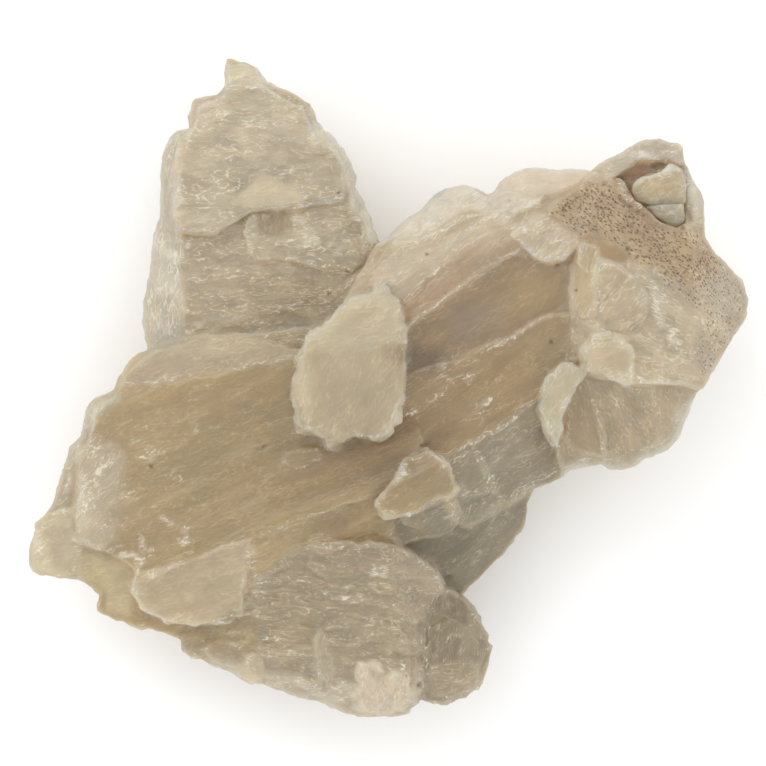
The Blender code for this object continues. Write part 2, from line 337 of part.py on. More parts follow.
CRYSTALS = {
    "rear_blade": Crystal(REAR_OUTLINE, 8.0, 24.0, (
        Face(-18, 20, REAR_TOP, 110, 3), Face(-29.4, 20, REAR_TOP, 180, 40),
        Face(-26.0, 37.6, REAR_TOP - 1, 138, 36), Face(-20, 42.8, REAR_TOP - 1.4, 90, 34),
        Face(-14.4, 39.6, REAR_TOP - 1, 58, 36),
        Face(-6.6, 29.4, REAR_TOP - 0.4, 27, 36), Face(-27, 20, 8, 180, 136), Face(-12.5, 26, 8, 27, 142),
        Face(-19, 38, 8, 95, 145),
    )),
    "rear_upper_sheet": Crystal(REAR_SHEET_OUTLINE, 15.0, 24.0, (
        Face(-18, 30, REAR_TOP + 2 * REAR_SHEET - 0.4, 110, 3), Face(-28.6, 28, REAR_TOP + 1.6, 180, 38),
        Face(-16, 40.6, REAR_TOP + 0.8, 60, 34), Face(-20, 41.4, REAR_TOP + 0.6, 90, 30),
        Face(-25.2, 37.2, REAR_TOP + 0.9, 138, 34), Face(-7.6, 29.6, REAR_TOP + 1.5, 27, 34),
    )),
    "rear_middle_sheet": Crystal(REAR_MIDDLE_OUTLINE, 15.0, 24.0, (
        Face(-12, 21, REAR_TOP + REAR_SHEET - 0.2, 110, 3), Face(-5.4, 21, REAR_TOP + 0.8, 20, 30),
    )),
    "left_body": Crystal(LEFT_BODY_OUTLINE, BELLY, 24.0, (
        Face(-42, -22, 21.4, 205, 22), Face(-33, -28, 21.0, 262, 34), Face(-36, 0, 20.4, 135, 44),
        Face(-34, -12, BELLY, 188, 147), Face(-28, -21, BELLY, 250, 138), Face(-30, -5, BELLY, 130, 132),
    )),
    "left_main": Crystal(LEFT_MAIN_OUTLINE, 12.0, 34.0, (
        Face(-8, -4, LEFT_TOP, 180, 5), Face(-25, 1.7, LEFT_TOP - 1.5, 106.5, 42),
        Face(-36, -12, LEFT_TOP - 2.9, 192, 20), Face(-42.6, -14, LEFT_TOP - 5.4, 186, 52),
        Face(-36.5, -2.0, LEFT_TOP - 3.2, 138, 38),
    )),
    "left_step": Crystal(LEFT_STEP_OUTLINE, 14.0, 30.0, (Face(-28, -25, LEFT_TOP - 3.0, 262, 12),)),
    "left_bevel": Crystal(LEFT_BEVEL_OUTLINE, 14.0, 30.0, (
        Face(-15, -19.5, LEFT_TOP - 1.9, 292, 24), Face(-19.4, -22, LEFT_TOP - 2.6, 180, 20),
    )),
    "left_tip": Crystal(LEFT_TIP_OUTLINE, 14.0, 24.0, (
        Face(-46, -22, LEFT_TOP - 8.6, 215, 16), Face(-46, -18.6, LEFT_TOP - 8.3, 110, 36),
    )),
    "left_facet": Crystal(LEFT_FACET_OUTLINE, 20.0, 32.0, (Face(-12, -10, LEFT_TOP + 0.1, 200, 4),)),
    "front_mass": Crystal(FRONT_OUTLINE, BELLY, 27.0, (
        *FRONT_FACES, Face(4.4, -26, FRONT_TOP - 1.0, 35, 40), Face(-6, -35, BELLY, 262, 138),
        Face(-12, -31, BELLY, 222, 142),
    )),
    "front_layer_1": Crystal(FRONT_LAYER_1_OUTLINE, 12.0, 27.0, lifted(FRONT_FACES, LAYER)),
    "front_layer_2": Crystal(FRONT_LAYER_2_OUTLINE, 12.0, 27.0, lifted(FRONT_FACES, 2 * LAYER)),
    "front_lobe": Crystal(FRONT_LOBE_OUTLINE, BELLY + 1, 22.0, (
        *LOBE_FACES, Face(6, -36, BELLY + 1, 350, 132), Face(6, -37, BELLY + 1, 275, 132),
    )),
    "lobe_layer": Crystal(LOBE_LAYER_OUTLINE, 12.0, 24.0, lifted(LOBE_FACES, LAYER)),
    "shaded_blade": Crystal(SHADED_OUTLINE, 2.5, 20.0, (
        Face(6, -19, 19.6, 308, 24), Face(16.2, -20, 15.0, 330, 46), Face(12, -25, 14.8, 312, 42),
        Face(7, -16, 2.5, 315, 138),
    )),
    "right_body": Crystal(RIGHT_BODY_OUTLINE, BELLY, 34.0, (
        right_face(17.3, RIM_STEP, 1, 40), right_face(8.3, TROUGH, -1, 7), right_face(-10.6, 26.4, -1, 48),
        right_face(12.0, TROUGH - 0.2, 1, 18), right_face(19.9, RIM_STEP - 2.6, 1, 60),
        right_face(5, BELLY, 1, 134), right_face(-12, BELLY, -1, 146), Face(26, 14, BELLY, 18, 138),
        Face(4, 12, BELLY, 150, 138),
    )),
    "right_terrace_1": Crystal(TERRACE_1_OUTLINE, 20.0, 36.0, (
        right_face(17.3, RIM_STEP + TERRACE, 1, 17), right_face(8.3, TROUGH + 0.4, -1, 6),
    )),
    "right_terrace_2": Crystal(TERRACE_2_OUTLINE, 20.0, 38.0, (right_face(8.3, CREST, 1, 15),)),
    "frosted_patch": Crystal(FROSTED_OUTLINE, 20.0, 38.0, (Face(23, 20, CREST + 0.4, 118, 12),)),
    "lower_face": Crystal(LOWER_FACE_OUTLINE, 13.0, 34.0, (
        right_face(-0.6, BROWN_FACE, -1, 6), right_face(-10.6, BROWN_FACE - 1.0, -1, 46),
    )),
    "upper_ledge": Crystal(UPPER_LEDGE_OUTLINE, 14.0, 32.0, (
        right_face(-10.0, BROWN_FACE - 0.6, -1, 44), Face(13.4, -11.6, BROWN_FACE - 3.6, 30, 40),
    )),
    "lower_ledge": Crystal(LOWER_LEDGE_OUTLINE, 14.0, 32.0, (right_face(-10, BROWN_FACE - 1.1, -1, 43),)),
    "weathered_end": Crystal(END_OUTLINE, 9.0, 38.0, (
        Face(30, 12, END_TOP, 40, 8), Face(28.8, 12, END_TOP, 184, 44),
        Face(43, 14, END_TOP - 2.2, 12, 42), Face(37, 29.5, END_TOP - 3.2, 84, 36),
        Face(27, 21, END_TOP - 0.9, 135, 20), Face(43, 6, END_TOP - 2.4, 330, 44),
        Face(47.4, 12, END_TOP - 6.2, 5, 50),
        Face(42.4, 25, END_TOP - 4.4, 20, 50), Face(31, 8, 9, 0, 148), Face(31, 14, 9, 90, 138),
    )),
    "pitted_top": Crystal(PITTED_OUTLINE, 20.0, 38.0, (
        Face(30, 12, END_TOP + 0.1, 40, 8), Face(37, 29.5, END_TOP - 3.1, 84, 36),
        Face(27, 21, END_TOP - 0.5, 135, 18), Face(42.4, 25, END_TOP - 4.3, 20, 50),
        Face(30, 14, END_TOP - 1.4, 262, 36), Face(30, 28, 20, 100, 138),
    )),
    "end_block": Crystal(END_BLOCK_OUTLINE, 24.0, 38.0, (Face(30, 12, END_TOP + 0.6, 330, 6),)),
    "upper_plate": Crystal(UPPER_PLATE_OUTLINE, 24.0, 38.0, (Face(30, 4, END_TOP + 0.8, 215, 6),)),
    "lower_plate": Crystal(LOWER_PLATE_OUTLINE, 20.0, 34.0, (Face(23.5, -1, BROWN_FACE + 1.0, 215, 12),)),
    "recess": Crystal(RECESS_OUTLINE, 8.0, 31.0, (
        Face(30, 1, END_TOP - 4.4, 282, 30), Face(36.6, -3, END_TOP - 7.4, 330, 44),
        Face(28, 0, 8, 300, 142),
    )),
    "recess_wedge": Crystal(RECESS_WEDGE_OUTLINE, 16.0, 32.0, (Face(26.8, -1, END_TOP - 4.8, 262, 26),)),
    "centre_plate": Crystal(CENTRE_OUTLINE, 24.0, 40.0, (
        Face(0.6, 6.7, CENTRE_TOP, 140, 4), Face(0.6, 6.7, CENTRE_TOP, 306, 9),
        Face(-11.8, 0, CENTRE_TOP - 1.2, 184, 52), Face(-5, -7.0, CENTRE_TOP - 2.2, 268, 48),
        Face(-9.0, 8.8, CENTRE_TOP - 1.0, 134, 52), Face(1.6, 4, CENTRE_TOP - 0.9, 355, 50),
        Face(-3.4, 12.2, CENTRE_TOP - 0.8, 112, 46),
    )),
    "throat": Crystal(THROAT_OUTLINE, 12.0, 31.0, (
        Face(2.5, -17.4, 28.6, 300, 52), Face(9.2, -16, 27.0, 345, 56),
    )),
    "small_blade": Crystal(SMALL_OUTLINE, 20.0, 36.0, (
        Face(4, -13.4, 32.0, 300, 8), Face(2.2, -12.4, 32.0, 118, 28), Face(7.8, -13, 31.4, 350, 38),
        Face(-0.4, -16, 31.9, 200, 28), Face(3, -16.6, 31.4, 285, 44),
    )),
    "root_blade": Crystal(ROOT_OUTLINE, 0.0, 18.0, (
        Face(-16, -4, 0, 185, 148), Face(-12, -13, 0, 240, 146), Face(10, -13, 0, 300, 146),
        Face(17, 0, 0, 350, 150), Face(12, 8, 0, 60, 148), Face(-12, 8, 0, 120, 148),
    )),
    **{f"front_stub_{index + 1}": front_stub(*sizes) for index, sizes in enumerate(FRONT_STUBS)},
    **{name: blade_below(*sizes) for name, sizes in UNDER_BLADES.items()},
}


def clear_scene() -> None:
    """Remove every object of the open scene."""
    for item in list(bpy.data.objects):
        bpy.data.objects.remove(item, do_unlink=True)


def new_collection(name: str) -> bpy.types.Collection:
    """A collection linked to the scene."""
    made = bpy.data.collections.new(name)
    bpy.context.scene.collection.children.link(made)
    return made


def raised(name: str, outline: tuple, low: float, high: float) -> bpy.types.Object:
    """A mesh prism: the filled outline raised from low to high."""
    curve = bpy.data.curves.new(name, "CURVE")
    curve.dimensions = "2D"
    curve.fill_mode = "BOTH"
    curve.extrude = (high - low) * MM / 2
    spline = curve.splines.new("POLY")
    spline.points.add(len(outline) - 1)
    for point, (x, y) in zip(spline.points, outline):
        point.co = (x * MM, y * MM, 0.0, 1.0)
    spline.use_cyclic_u = True
    guide = bpy.data.objects.new(name + "_outline", curve)
    bpy.context.scene.collection.objects.link(guide)
    guide.location.z = (low + high) * MM / 2
    bpy.context.view_layer.update()
    mesh = bpy.data.meshes.new_from_object(guide.evaluated_get(bpy.context.evaluated_depsgraph_get()))
    mesh.transform(guide.matrix_world)
    bpy.data.objects.remove(guide, do_unlink=True)
    work = bmesh.new()
    work.from_mesh(mesh)
    bmesh.ops.remove_doubles(work, verts=work.verts, dist=0.001 * MM)
    bmesh.ops.dissolve_limit(work, angle_limit=math.radians(0.5), verts=work.verts, edges=work.edges)
    bmesh.ops.recalc_face_normals(work, faces=work.faces)
    work.to_mesh(mesh)
    work.free()
    mesh.name = name
    return bpy.data.objects.new(name, mesh)


def trim(shape: bpy.types.Object, faces: tuple) -> None:
    """Cut the shape back to each flat face and close the cut."""
    work = bmesh.new()
    work.from_mesh(shape.data)
    for face in faces:
        leans = math.radians(face.leans)
        tilt = math.radians(face.tilt)
        level = math.sin(tilt)
        outward = Vector((level * math.cos(leans), level * math.sin(leans), math.cos(tilt)))
        spot = Vector((face.x, face.y, face.z)) * MM
        everything = work.verts[:] + work.edges[:] + work.faces[:]
        bmesh.ops.bisect_plane(work, geom=everything, plane_co=spot, plane_no=outward, clear_outer=True)
        rim = [edge for edge in work.edges if edge.is_boundary]
        bmesh.ops.edgenet_fill(work, edges=rim)
    bmesh.ops.remove_doubles(work, verts=work.verts, dist=0.01 * MM)
    bmesh.ops.recalc_face_normals(work, faces=work.faces)
    bmesh.ops.triangulate(work, faces=work.faces)
    for facet in work.faces:
        facet.smooth = False
    work.to_mesh(shape.data)
    work.free()


def grow(name: str, crystal: Crystal, into: bpy.types.Collection) -> bpy.types.Object:
    """Build one crystal and put it in a collection."""
    shape = raised(name, crystal.outline, crystal.low, crystal.high)
    trim(shape, crystal.faces)
    into.objects.link(shape)
    return shape


def material(name: str, colour: tuple, roughness: float) -> bpy.types.Material:
    """A plain Principled material."""
    made = bpy.data.materials.new(name)
    made.use_nodes = True
    shader = made.node_tree.nodes["Principled BSDF"]
    shader.inputs["Base Color"].default_value = (*colour, 1.0)
    shader.inputs["Roughness"].default_value = roughness
    shader.inputs["Metallic"].default_value = 0.0
    return made


def as_helper(shape: bpy.types.Object) -> None:
    """Keep a shape that only joins or cuts out of the render."""
    shape.hide_render = True
    shape.display_type = "WIRE"


def boolean(shape: bpy.types.Object, name: str, operation: str, operands: bpy.types.Collection) -> None:
    """Join a collection to the shape or cut it away."""
    modifier = shape.modifiers.new(name, "BOOLEAN")
    modifier.operation = operation
    modifier.solver = "EXACT"
    modifier.operand_type = "COLLECTION"
    modifier.collection = operands


def build_cluster(parts: bpy.types.Collection) -> bpy.types.Object:
    """Grow every crystal, join them in one solid and cut the hollow."""
    growth = new_collection("Growth")
    hollows = new_collection("Hollows")
    base, *others = CRYSTALS.items()
    cluster = grow("cluster", base[1], parts)
    for name, crystal in others:
        as_helper(grow(name, crystal, growth))
    pocket = Crystal(POCKET_OUTLINE, POCKET_FLOOR, END_TOP + 6.0, ())
    as_helper(grow("pocket_hollow", pocket, hollows))
    boolean(cluster, "Grown together", "UNION", growth)
    boolean(cluster, "Hollow", "DIFFERENCE", hollows)
    return cluster


def build_fragments(parts: bpy.types.Collection) -> list:
    """The two loose fragments lodged in the hollow."""
    floor = POCKET_FLOOR + GAP
    shard = grow("wedge_shard", Crystal(SHARD_OUTLINE, floor, END_TOP, (
        Face(37.5, 27.6, END_TOP - 2.3, 285, 14), Face(40.4, 28, END_TOP - 3.0, 10, 40),
    )), parts)
    flake = grow("edge_flake", Crystal(FLAKE_OUTLINE, floor, END_TOP, (
        Face(39, 24, END_TOP - 2.7, 250, 8),
    )), parts)
    return [shard, flake]


def main() -> None:
    """Build the cluster and its loose fragments."""
    clear_scene()
    parts = new_collection("Selenite")
    cluster = build_cluster(parts)
    shard, flake = build_fragments(parts)
    cluster.data.materials.append(material("honey selenite", (0.50, 0.42, 0.30), 0.35))
    shard.data.materials.append(material("cleaved selenite", (0.55, 0.47, 0.34), 0.30))
    flake.data.materials.append(material("frayed selenite", (0.62, 0.56, 0.45), 0.45))


main()
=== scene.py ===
"""Looks of the selenite cluster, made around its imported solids.

The cluster's solid is copied, remeshed finely and worked over with the natural relief of each crystal face:
stacked cleavage sheets, grooves, wavy layers, pits and chipped edges. Every face has its own grain, tint and
frost, and the two loose fragments are treated in the same way. Plan places are in millimetres.
"""

import logging
import math
from dataclasses import dataclass
from enum import Enum
from itertools import product

import bpy
import numpy as np
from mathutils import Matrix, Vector


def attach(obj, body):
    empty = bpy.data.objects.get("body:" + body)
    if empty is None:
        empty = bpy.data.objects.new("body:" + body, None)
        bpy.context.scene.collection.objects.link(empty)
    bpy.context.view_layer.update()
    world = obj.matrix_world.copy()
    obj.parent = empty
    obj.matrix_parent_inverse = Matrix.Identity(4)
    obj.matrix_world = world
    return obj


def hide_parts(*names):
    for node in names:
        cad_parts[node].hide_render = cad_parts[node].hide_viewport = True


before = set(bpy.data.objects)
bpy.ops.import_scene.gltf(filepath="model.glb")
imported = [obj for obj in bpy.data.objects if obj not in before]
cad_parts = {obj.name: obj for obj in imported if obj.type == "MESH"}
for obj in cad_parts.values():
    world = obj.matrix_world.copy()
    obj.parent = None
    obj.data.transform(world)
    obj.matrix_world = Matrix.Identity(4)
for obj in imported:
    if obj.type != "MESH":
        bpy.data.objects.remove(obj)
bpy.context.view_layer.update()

MM = 0.001
TINY = 1e-12
FAR = 1e9
LOG = logging.getLogger("selenite")
Socket = bpy.types.NodeSocket


class Grain(Enum):
    """The relief that a crystal face has."""

    CLEAVED = "sheets broken off in steps"
    STRIATED = "grooves along the crystal"
    WAVY = "thin layers in waves"
    CRUMBLY = "small lumps"
    PITTED = "pits dissolved in a matt face"
    SMOOTH = "a clean face"


@dataclass(frozen=True)
class Zone:
    """One crystal face seen in plan.

    The outline is in millimetres, the tint in display values from 0 to 255 and the axis in degrees from +X.
    The border fades over soft millimetres. The rim is how white a line just inside the border is, partly frost
    and partly painted highlight, and pitting how closely pits stand.
    """

    outline: tuple
    tint: tuple
    grain: Grain
    axis: float
    frost: float
    soft: float = 0.3
    rim: float = 0.0
    pitting: float = 0.0


@dataclass(frozen=True)
class Trace:
    """A mark that follows a line in plan: a pale ledge, a frosty streak, a stain or a dark crack.

    The points, the width and the rise are in millimetres, and frost and stain go from 0 to 1. Some stains are
    painted shadow and painted shade in hollows, and the frost of a pale ledge is partly painted highlight.
    """

    points: tuple
    width: float
    frost: float = 0.0
    stain_and_shade: float = 0.0
    rise: float = 0.0


@dataclass(frozen=True)
class Cloud:
    """A soft patch inside the crystal, with its own tint, frost or both.

    The centre and the reach along and across its axis are in millimetres, the axis is in degrees from +X.
    """

    centre: tuple
    reach: tuple
    axis: float
    tint: tuple
    strength: float
    frost: float = 0.0


BODY_TINT = (180, 163, 128)

# Small facets of each grain: their length and width in millimetres, and how much their brightness differs.
FACET_SIZE = {
    Grain.CLEAVED: (2.6, 1.5),
    Grain.STRIATED: (9.0, 1.6),
    Grain.WAVY: (2.8, 1.2),
    Grain.CRUMBLY: (1.3, 1.1),
    Grain.PITTED: (2.4, 1.0),
    Grain.SMOOTH: (5.0, 3.0),
}

FACET_SHADE = {
    Grain.CLEAVED: 0.32,
    Grain.STRIATED: 0.20,
    Grain.WAVY: 0.28,
    Grain.CRUMBLY: 0.34,
    Grain.PITTED: 0.30,
    Grain.SMOOTH: 0.06,
}

ZONES = {
    "rear_blade": Zone((
        (-22.4, 46.1), (-18.5, 44.8), (-15.0, 42.1), (-11.2, 39.8), (-9.3, 35.8), (-6.4, 33.5), (-4.2, 29.7),
        (-3.2, 25.5), (-1.5, 20.0), (1.0, 10.0), (-6.0, -2.0), (-26.0, -3.0), (-33.7, 5.1), (-34.1, 12.1),
        (-32.9, 21.9), (-31.8, 29.7), (-31.1, 33.8), (-29.0, 36.0), (-27.6, 40.0), (-23.0, 42.3),
    ), (176, 160, 133), Grain.CLEAVED, 3.0, 0.4, 0.8),
    "rear_tip": Zone((
        (-23.0, 46.0), (-18.5, 44.8), (-15.0, 42.1), (-17.5, 43.0), (-22.7, 42.9),
    ), (196, 186, 164), Grain.CLEAVED, 3.0, 0.30, 0.3, 0.2),
    "rear_left_strip": Zone((
        (-34.5, 4.0), (-34.5, 13.0), (-33.3, 22.0), (-32.4, 30.0), (-31.5, 34.6), (-28.4, 36.6),
        (-29.0, 30.0), (-29.0, 22.0), (-28.6, 16.0), (-28.8, 4.0),
    ), (186, 177, 158), Grain.CLEAVED, 86.0, 0.75, 0.8),
    "rear_right_strip": Zone((
        (-10.4, 35.6), (-8.2, 31.6), (-5.9, 27.8), (-5.0, 25.4), (-4.4, 22.4), (-3.4, 20.4), (-1.2, 20.2),
        (-3.0, 26.0), (-4.4, 30.4), (-6.6, 34.0), (-9.4, 36.4), (-11.0, 39.2),
    ), (208, 202, 186), Grain.CLEAVED, 70.0, 0.85, 0.5, 0.5),
    "rear_upper_sheet": Zone((
        (-29.7, 21.6), (-27.8, 21.7), (-24.7, 21.4), (-22.7, 22.4), (-20.7, 24.0), (-19.0, 24.7),
        (-16.3, 24.9), (-13.9, 24.6), (-10.0, 25.4), (-6.4, 25.8), (-5.9, 27.8), (-6.2, 30.0), (-7.6, 33.0),
        (-10.4, 35.4), (-12.0, 38.9), (-15.6, 41.0), (-17.9, 42.6), (-22.2, 42.6), (-23.3, 40.2),
        (-26.6, 39.2), (-27.0, 36.4), (-29.2, 34.6), (-30.1, 31.0), (-29.8, 25.0),
    ), (179, 166, 142), Grain.CLEAVED, 2.0, 0.42, 0.25, 0.3),
    "rear_lens": Zone((
        (-22.2, 25.6), (-19.8, 28.4), (-17.6, 29.8), (-15.2, 29.2), (-13.2, 27.6), (-12.4, 26.2),
        (-15.8, 25.4), (-19.0, 25.2),
    ), (204, 192, 165), Grain.SMOOTH, 12.0, 0.1, 0.5),
    "rear_middle_sheet": Zone((
        (-19.4, 18.6), (-18.1, 17.9), (-12.2, 17.7), (-10.7, 16.8), (-8.1, 16.7), (-6.1, 16.3), (-4.0, 17.3),
        (-2.4, 19.4), (-3.0, 22.4), (-5.0, 25.4), (-13.0, 24.4), (-19.0, 24.2), (-20.4, 22.4),
    ), (181, 168, 142), Grain.CLEAVED, 0.0, 0.45, 0.25, 0.35),
    "rear_nook": Zone((
        (-18.4, 24.4), (-18.0, 21.6), (-15.4, 21.2), (-13.4, 22.6), (-13.6, 24.4),
    ), (170, 152, 121), Grain.CLEAVED, 88.0, 0.06, 0.3),
    "left_crystal": Zone((
        (-33.9, 5.2), (-38.5, -0.4), (-42.2, -3.1), (-44.6, -9.0), (-46.8, -16.7), (-49.6, -21.4),
        (-50.1, -25.5), (-43.1, -26.7), (-40.2, -28.7), (-40.6, -31.1), (-37.1, -32.8), (-31.2, -34.4),
        (-22.0, -31.0), (-4.0, -24.0), (6.0, -14.0), (5.0, -3.0), (0.0, 6.0), (-6.0, 7.0), (-12.7, 5.2),
        (-17.6, 6.8), (-22.7, 7.5), (-27.1, 6.8),
    ), (171, 151, 112), Grain.STRIATED, 22.0, 0.06, 0.8),
    "left_rim_band": Zone((
        (-33.0, 5.0), (-37.6, 0.4), (-33.0, 0.4), (-25.0, 1.7), (-20.0, 2.8), (-12.7, 4.1), (-13.0, 5.8),
        (-17.6, 6.8), (-22.7, 7.5), (-27.1, 6.9), (-29.5, 6.0),
    ), (172, 157, 130), Grain.SMOOTH, 12.0, 0.10, 0.4, 0.2),
    "left_rim_upper": Zone((
        (-31.4, 4.6), (-27.0, 4.4), (-21.0, 5.0), (-15.6, 5.8), (-17.6, 7.0), (-22.7, 7.7), (-27.1, 7.0),
        (-30.0, 6.0),
    ), (184, 170, 142), Grain.SMOOTH, 12.0, 0.14, 0.6),
    "left_frost": Zone((
        (-42.0, -6.5), (-38.6, -7.4), (-36.6, -10.0), (-37.0, -13.0), (-38.6, -17.0), (-37.8, -21.6),
        (-41.0, -22.2), (-44.0, -20.6), (-44.2, -15.0), (-43.2, -9.6),
    ), (187, 173, 146), Grain.STRIATED, 40.0, 0.62, 1.4),
    "left_border": Zone((
        (-39.0, -0.8), (-42.2, -3.1), (-44.6, -9.0), (-46.8, -16.7), (-45.0, -16.6), (-43.4, -11.0),
        (-42.2, -7.4), (-40.8, -4.0), (-37.4, -1.4),
    ), (182, 172, 149), Grain.CLEAVED, 68.0, 0.6, 0.6),
    "left_olive": Zone((
        (-43.4, -22.9), (-38.6, -23.4), (-35.6, -25.2), (-35.6, -28.2), (-36.4, -32.0), (-39.6, -31.2),
        (-39.4, -28.4), (-43.6, -26.4),
    ), (197, 183, 147), Grain.SMOOTH, 20.0, 0.04, 0.5),
    "left_tip": Zone((
        (-48.9, -19.0), (-49.6, -21.4), (-50.2, -25.5), (-46.4, -26.4), (-43.2, -26.2), (-42.9, -22.8),
        (-44.2, -19.4), (-43.6, -16.8), (-46.6, -17.4),
    ), (196, 184, 156), Grain.SMOOTH, 24.0, 0.22, 0.3, 0.2),
    "left_step": Zone((
        (-34.6, -25.8), (-30.0, -24.6), (-24.0, -22.6), (-19.0, -21.0), (-19.0, -24.0), (-19.9, -27.0),
        (-20.2, -31.6), (-21.7, -32.6), (-24.9, -32.9), (-28.1, -33.0), (-30.6, -32.7), (-34.4, -31.4),
        (-35.6, -28.0),
    ), (193, 178, 148), Grain.SMOOTH, 20.0, 0.06, 0.25, 0.4),
    "left_bevel": Zone((
        (-18.8, -21.2), (-15.0, -19.6), (-9.8, -17.6), (-5.0, -15.9), (-0.6, -14.2), (2.0, -18.0),
        (0.0, -20.9), (-3.4, -22.2), (-8.8, -21.6), (-10.8, -22.2), (-15.0, -24.2), (-18.6, -27.4),
    ), (186, 165, 124), Grain.STRIATED, 22.0, 0.08, 0.25, 0.22),
    "left_facet": Zone((
        (-14.8, -10.6), (-14.4, -8.9), (-12.4, -8.3), (-9.6, -8.2), (-9.0, -9.8), (-10.9, -10.9),
        (-13.1, -11.4),
    ), (178, 160, 126), Grain.SMOOTH, 14.0, 0.12, 0.3, 0.12),
    "shaded_blade": Zone((
        (20.6, -12.4), (19.6, -16.4), (19.2, -19.6), (17.5, -23.0), (15.0, -25.3), (11.9, -27.8),
        (9.4, -29.4), (5.0, -27.0), (2.0, -22.6), (1.0, -18.4), (6.0, -15.0), (14.0, -14.0),
    ), (130, 121, 98), Grain.STRIATED, 31.0, 0.06, 0.6),
    "front_mass": Zone((
        (-23.4, -31.6), (-20.0, -30.0), (-18.2, -26.4), (-15.3, -23.9), (-12.8, -22.6), (-10.2, -21.8),
        (-7.6, -21.5), (-1.2, -21.8), (1.4, -22.1), (4.0, -23.4), (6.5, -25.0), (7.7, -27.4), (7.2, -29.3),
        (5.6, -31.4), (4.8, -36.0), (5.0, -41.0), (3.3, -45.0), (0.0, -46.4), (-7.3, -45.0), (-14.0, -43.0),
        (-19.5, -41.5), (-24.7, -39.0), (-30.4, -35.2), (-28.2, -33.2), (-24.0, -32.8),
    ), (166, 151, 124), Grain.WAVY, -4.0, 0.20, 0.3, 0.35),
    "front_edge": Zone((
        (-25.0, -37.4), (-20.0, -39.0), (-16.0, -39.4), (-11.0, -40.6), (-5.0, -41.4), (3.6, -42.0),
        (4.4, -44.6), (0.0, -46.6), (-8.0, -45.2), (-14.0, -43.4), (-20.0, -42.0), (-25.6, -39.4),
    ), (182, 169, 144), Grain.CRUMBLY, 0.0, 0.7, 0.8),
    "front_left_brown": Zone((
        (-30.4, -35.2), (-28.4, -33.2), (-22.0, -33.1), (-18.2, -32.2), (-18.4, -37.4), (-20.4, -37.2),
        (-22.4, -36.6), (-26.0, -37.4),
    ), (168, 150, 114), Grain.WAVY, 12.0, 0.05, 0.5),
    "front_left_lump": Zone((
        (-20.8, -39.0), (-19.6, -37.4), (-17.8, -37.3), (-17.0, -39.0), (-17.6, -41.2), (-20.4, -41.4),
    ), (190, 177, 149), Grain.CRUMBLY, 0.0, 0.28, 0.3, 0.3),
    "front_middle_lump": Zone((
        (-10.2, -35.0), (-9.4, -33.8), (-8.6, -34.4), (-8.2, -37.0), (-7.4, -39.6), (-7.8, -42.0),
        (-9.8, -42.0), (-10.4, -38.6),
    ), (184, 171, 143), Grain.CRUMBLY, 90.0, 0.24, 0.3, 0.3),
    "front_white_lump": Zone((
        (-4.7, -39.4), (-3.9, -38.4), (-1.2, -38.4), (-0.5, -40.2), (0.8, -39.7), (2.8, -39.6), (3.1, -42.0),
        (2.5, -45.2), (-1.0, -45.9), (-4.0, -44.9), (-5.4, -43.8), (-4.2, -41.5),
    ), (206, 190, 166), Grain.CRUMBLY, 88.0, 0.50, 0.3, 0.3),
    "front_lobe": Zone((
        (5.4, -29.6), (8.0, -28.0), (9.9, -29.0), (13.4, -32.5), (14.2, -35.8), (15.4, -37.5), (13.6, -41.2),
        (11.0, -43.4), (7.5, -44.7), (4.4, -44.2), (5.0, -40.0), (4.8, -34.0),
    ), (142, 128, 102), Grain.CRUMBLY, 78.0, 0.16, 0.3, 0.4),
    "front_lobe_plate": Zone((
        (6.0, -38.8), (8.6, -38.2), (11.4, -38.4), (12.8, -39.4), (12.8, -41.4), (10.6, -43.0), (6.4, -43.4),
        (5.6, -41.0),
    ), (156, 140, 111), Grain.SMOOTH, 10.0, 0.14, 0.3, 0.3),
    "right_crystal": Zone((
        (-8.2, 13.0), (-4.4, 17.2), (-1.6, 20.2), (2.2, 23.4), (7.3, 27.8), (10.4, 28.5), (13.8, 27.0),
        (17.8, 30.3), (24.0, 30.5), (28.0, 30.4), (31.0, 24.0), (31.0, 8.0), (27.0, -4.0), (24.2, -13.0),
        (16.9, -16.6), (11.3, -19.6), (8.9, -18.4), (4.0, -10.0), (1.8, -4.0), (2.6, 4.0), (2.0, 10.0),
        (-0.8, 13.8), (-3.2, 13.0),
    ), (182, 164, 133), Grain.STRIATED, 36.0, 0.12, 0.4),
    "right_rim": Zone((
        (-1.6, 20.2), (2.2, 23.4), (7.3, 27.8), (10.4, 28.5), (13.8, 27.0), (17.8, 30.3), (24.0, 30.5),
        (21.0, 25.4), (17.4, 24.2), (13.6, 24.8), (10.0, 24.3), (6.0, 21.8), (3.9, 21.1), (0.9, 20.4),
    ), (206, 196, 178), Grain.CLEAVED, 31.0, 0.8, 0.3, 0.12),
    "right_terrace_1": Zone((
        (-2.6, 14.4), (0.9, 20.2), (3.9, 20.9), (6.0, 21.6), (10.0, 24.1), (13.6, 24.6), (17.4, 24.0),
        (16.6, 22.8), (12.4, 21.0), (9.0, 18.5), (5.3, 15.9), (3.9, 14.2), (1.0, 12.0),
    ), (198, 182, 154), Grain.STRIATED, 31.0, 0.4, 0.25, 0.16),
    "right_terrace_2": Zone((
        (1.4, 12.2), (3.9, 14.1), (5.3, 15.8), (9.0, 18.4), (12.4, 20.9), (16.6, 22.6), (20.0, 21.4),
        (17.5, 18.7), (15.8, 17.9), (14.1, 16.9), (12.4, 15.9), (9.0, 12.9), (6.5, 11.2), (4.6, 9.8),
        (2.4, 8.4),
    ), (174, 150, 116), Grain.STRIATED, 31.0, 0.16, 0.25, 0.24),
    "trough": Zone((
        (2.4, 8.2), (4.6, 9.6), (6.5, 11.0), (9.0, 12.7), (12.4, 15.7), (14.1, 16.7), (17.5, 18.4),
        (19.0, 19.0), (22.6, 17.2), (25.2, 17.6), (25.4, 10.4), (21.9, 10.2), (19.9, 9.3), (17.8, 7.8),
        (13.8, 6.1), (9.6, 4.1), (5.6, 3.1), (2.8, 2.0),
